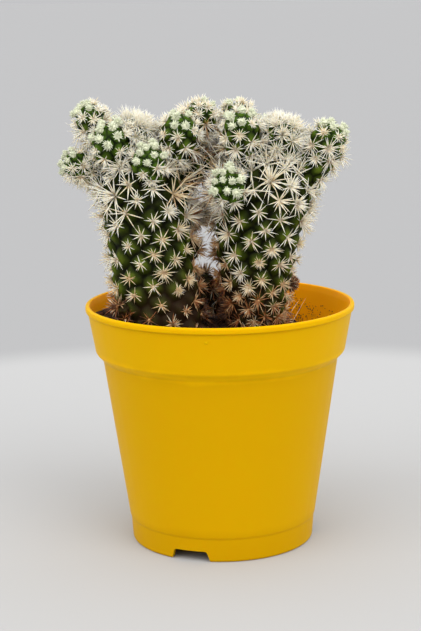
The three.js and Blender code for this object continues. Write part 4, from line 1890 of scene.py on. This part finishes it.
    @staticmethod
    def add_pad(wool: Gather, areole: Areole, size: float, tone: float) -> None:
        """Adds the low pad of felt on a grown areole.

        Args:
            wool: takes it.
            areole: where it is.
            size: its radius.
            tone: from pale at 0 to tan at 1.
        """
        points, faces = COARSE_BALL
        axes = np.stack([areole.up, np.cross(areole.out, areole.up), areole.out])
        shaped = (points * [size, size, 0.6 * size]) @ axes + areole.place
        wool.add(shaped, [faces], tone=min(max(tone, 0.0), 1.0), along=0.0)

    @staticmethod
    def add_tuft(wool: Gather, areole: Areole, heading: Array, random: Random) -> None:
        """Adds the round tuft of a bud areole: a felted core and short bristles.

        Args:
            wool: takes it.
            areole: where it is.
            heading: direction of each bristle.
            random: source of chance.
        """
        size = 0.49 * areole.spacing * random.uniform(0.88, 1.1)
        points, faces = BALL
        lumps = 1 + 0.1 * random.normal(size=(len(points), 1))
        centre = areole.place + areole.out * 0.3 * size
        wool.add(points * lumps * size * 0.66 + centre, [faces], tone=0.05, along=0.5)
        total = len(heading)
        lengths = size * random.uniform(0.62, 1.05, total)
        bristles = Prickles(centre + heading * 0.4 * size, heading, lengths, np.zeros((total, 3)))
        bristles.add_to(wool, np.full(total, 0.16 * size), 3, tone=np.full(total, 0.0))


def one_coat(root: Point, head: Point, radius: float, coat: Growth, tone: float) -> OffsetPlan:
    """Plans a pup with areoles of one kind, and nothing fresh on it."""
    return OffsetPlan(root, head, radius, fresh=0.0, coat=coat, tone=tone)


LEFT_PLANT = CactusPlant(
    name="stem_left",
    seed=2311,
    foot=(-16.3, -2, 54),
    lean=-0.125,
    bend=0.0,
    profile=((13, 0), (13.6, 14), (13.4, 32), (13.4, 44), (13.7, 53), (12.3, 62), (8.4, 69), (3, 72)),
    offsets=(
        OffsetPlan((-34.5, -0.5, 115.2), (-43.3, -4, 120.1), 4.3, fresh=0.85),
        OffsetPlan((-30.5, 3, 119.5), (-38.7, -2, 133.3), 5, fresh=0.2),
        OffsetPlan((-29.5, 0.1, 117.4), (-32.4, -8.5, 126.8), 6, fresh=0.45),
        OffsetPlan((-20.8, -5, 113.7), (-20.8, -12, 120.9), 5.4, fresh=0.7),
        OffsetPlan((-25.3, 2.5, 116), (-25, -2.5, 128.3), 5.6, coat=Growth.FLEECY, tone=0.0),
        OffsetPlan((-15.5, 1.5, 117), (-11.8, -6, 129.3), 6, fresh=0.15),
        OffsetPlan((-15, 3.5, 117), (-5.2, 1.5, 133.4), 5.2, fresh=-0.3),
        OffsetPlan((-28.9, 3.8, 117), (-33.1, 8, 127.5), 5.2),
        OffsetPlan((-20.9, 4, 114), (-19.7, 10, 124.3), 5.4),
        one_coat((-14.3, 2.2, 110.1), (-6.8, 4, 119.3), 4.8, Growth.TANGLED, 0.3),
        one_coat((-10.2, 3.6, 69.5), (-4.9, 7, 80.4), 3.8, Growth.MATURE, 0.62),
        one_coat((-27.5, -9, 67), (-30, -11, 76), 2.6, Growth.MATURE, 0.9),
        one_coat((-13, 0, 84), (-9.1, -0.5, 93), 3.2, Growth.MATURE, 0.55),
        one_coat((-11.5, 3, 98.5), (-5.2, 6, 103.2), 1.7, Growth.TANGLED, 0.3),
    ),
    cork_side=-0.7,
)

RIGHT_PLANT = CactusPlant(
    name="stem_right",
    seed=907,
    foot=(12.9, 1, 52),
    lean=-0.125,
    bend=0.0026,
    profile=((8, 0), (8.8, 15), (10.4, 26), (13, 41), (14.5, 53), (13.5, 61), (8.6, 68), (3, 71)),
    offsets=(
        OffsetPlan((4.5, -4, 107.6), (3, -12, 113.6), 5.2, fresh=1.0),
        OffsetPlan((9.5, 1.5, 117), (7.2, -6, 129.6), 6, fresh=0.2),
        OffsetPlan((11, 5, 114), (6.2, 6, 133.2), 4.8, fresh=-0.3),
        OffsetPlan((18.4, 1.1, 113.1), (19.6, -1, 126.9), 6, coat=Growth.FLEECY, tone=0.0),
        OffsetPlan((25.5, 0.4, 111), (33.7, -2, 125.8), 5.8, fresh=0.3),
        OffsetPlan((21.6, 3.2, 111.5), (25.2, 8, 121.9), 5.4),
        OffsetPlan((14.6, 4.6, 115.6), (14.6, 10, 126.3), 5.4),
        one_coat((6, 7, 66), (-0.8, 11, 75.2), 3.9, Growth.MATURE, 0.7),
        one_coat((4, 5, 112), (0.6, 7.5, 125), 2.8, Growth.TANGLED, 0.12),
        one_coat((20, -1, 80), (22.7, -1.5, 81.8), 1.1, Growth.YOUNG, 1.0),
    ),
    cork_side=1.0,
    crown_spine=7.3,
    strays=(((22.5, -1, 68.8), (27.2, 3, 76.2)), ((22.5, 2, 72), (25.5, 9, 74.5))),
)


# -------------------------------------------------------------------------- the scene


def main() -> None:
    """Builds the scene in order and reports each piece."""
    logging.basicConfig(level=logging.INFO, format="%(message)s")
    Studio().build()
    pot = NurseryPot()
    compost = Compost()
    pieces = [*pot.build(), *compost.build(pot)]
    pieces += LEFT_PLANT.build(Surroundings(RIGHT_PLANT, compost, pot))
    pieces += RIGHT_PLANT.build(Surroundings(LEFT_PLANT, compost, pot))
    for piece in pieces:
        LOG.info("%s: %d points, %d faces", piece.name, len(piece.data.vertices), len(piece.data.polygons))


if __name__ == "__main__":
    main()
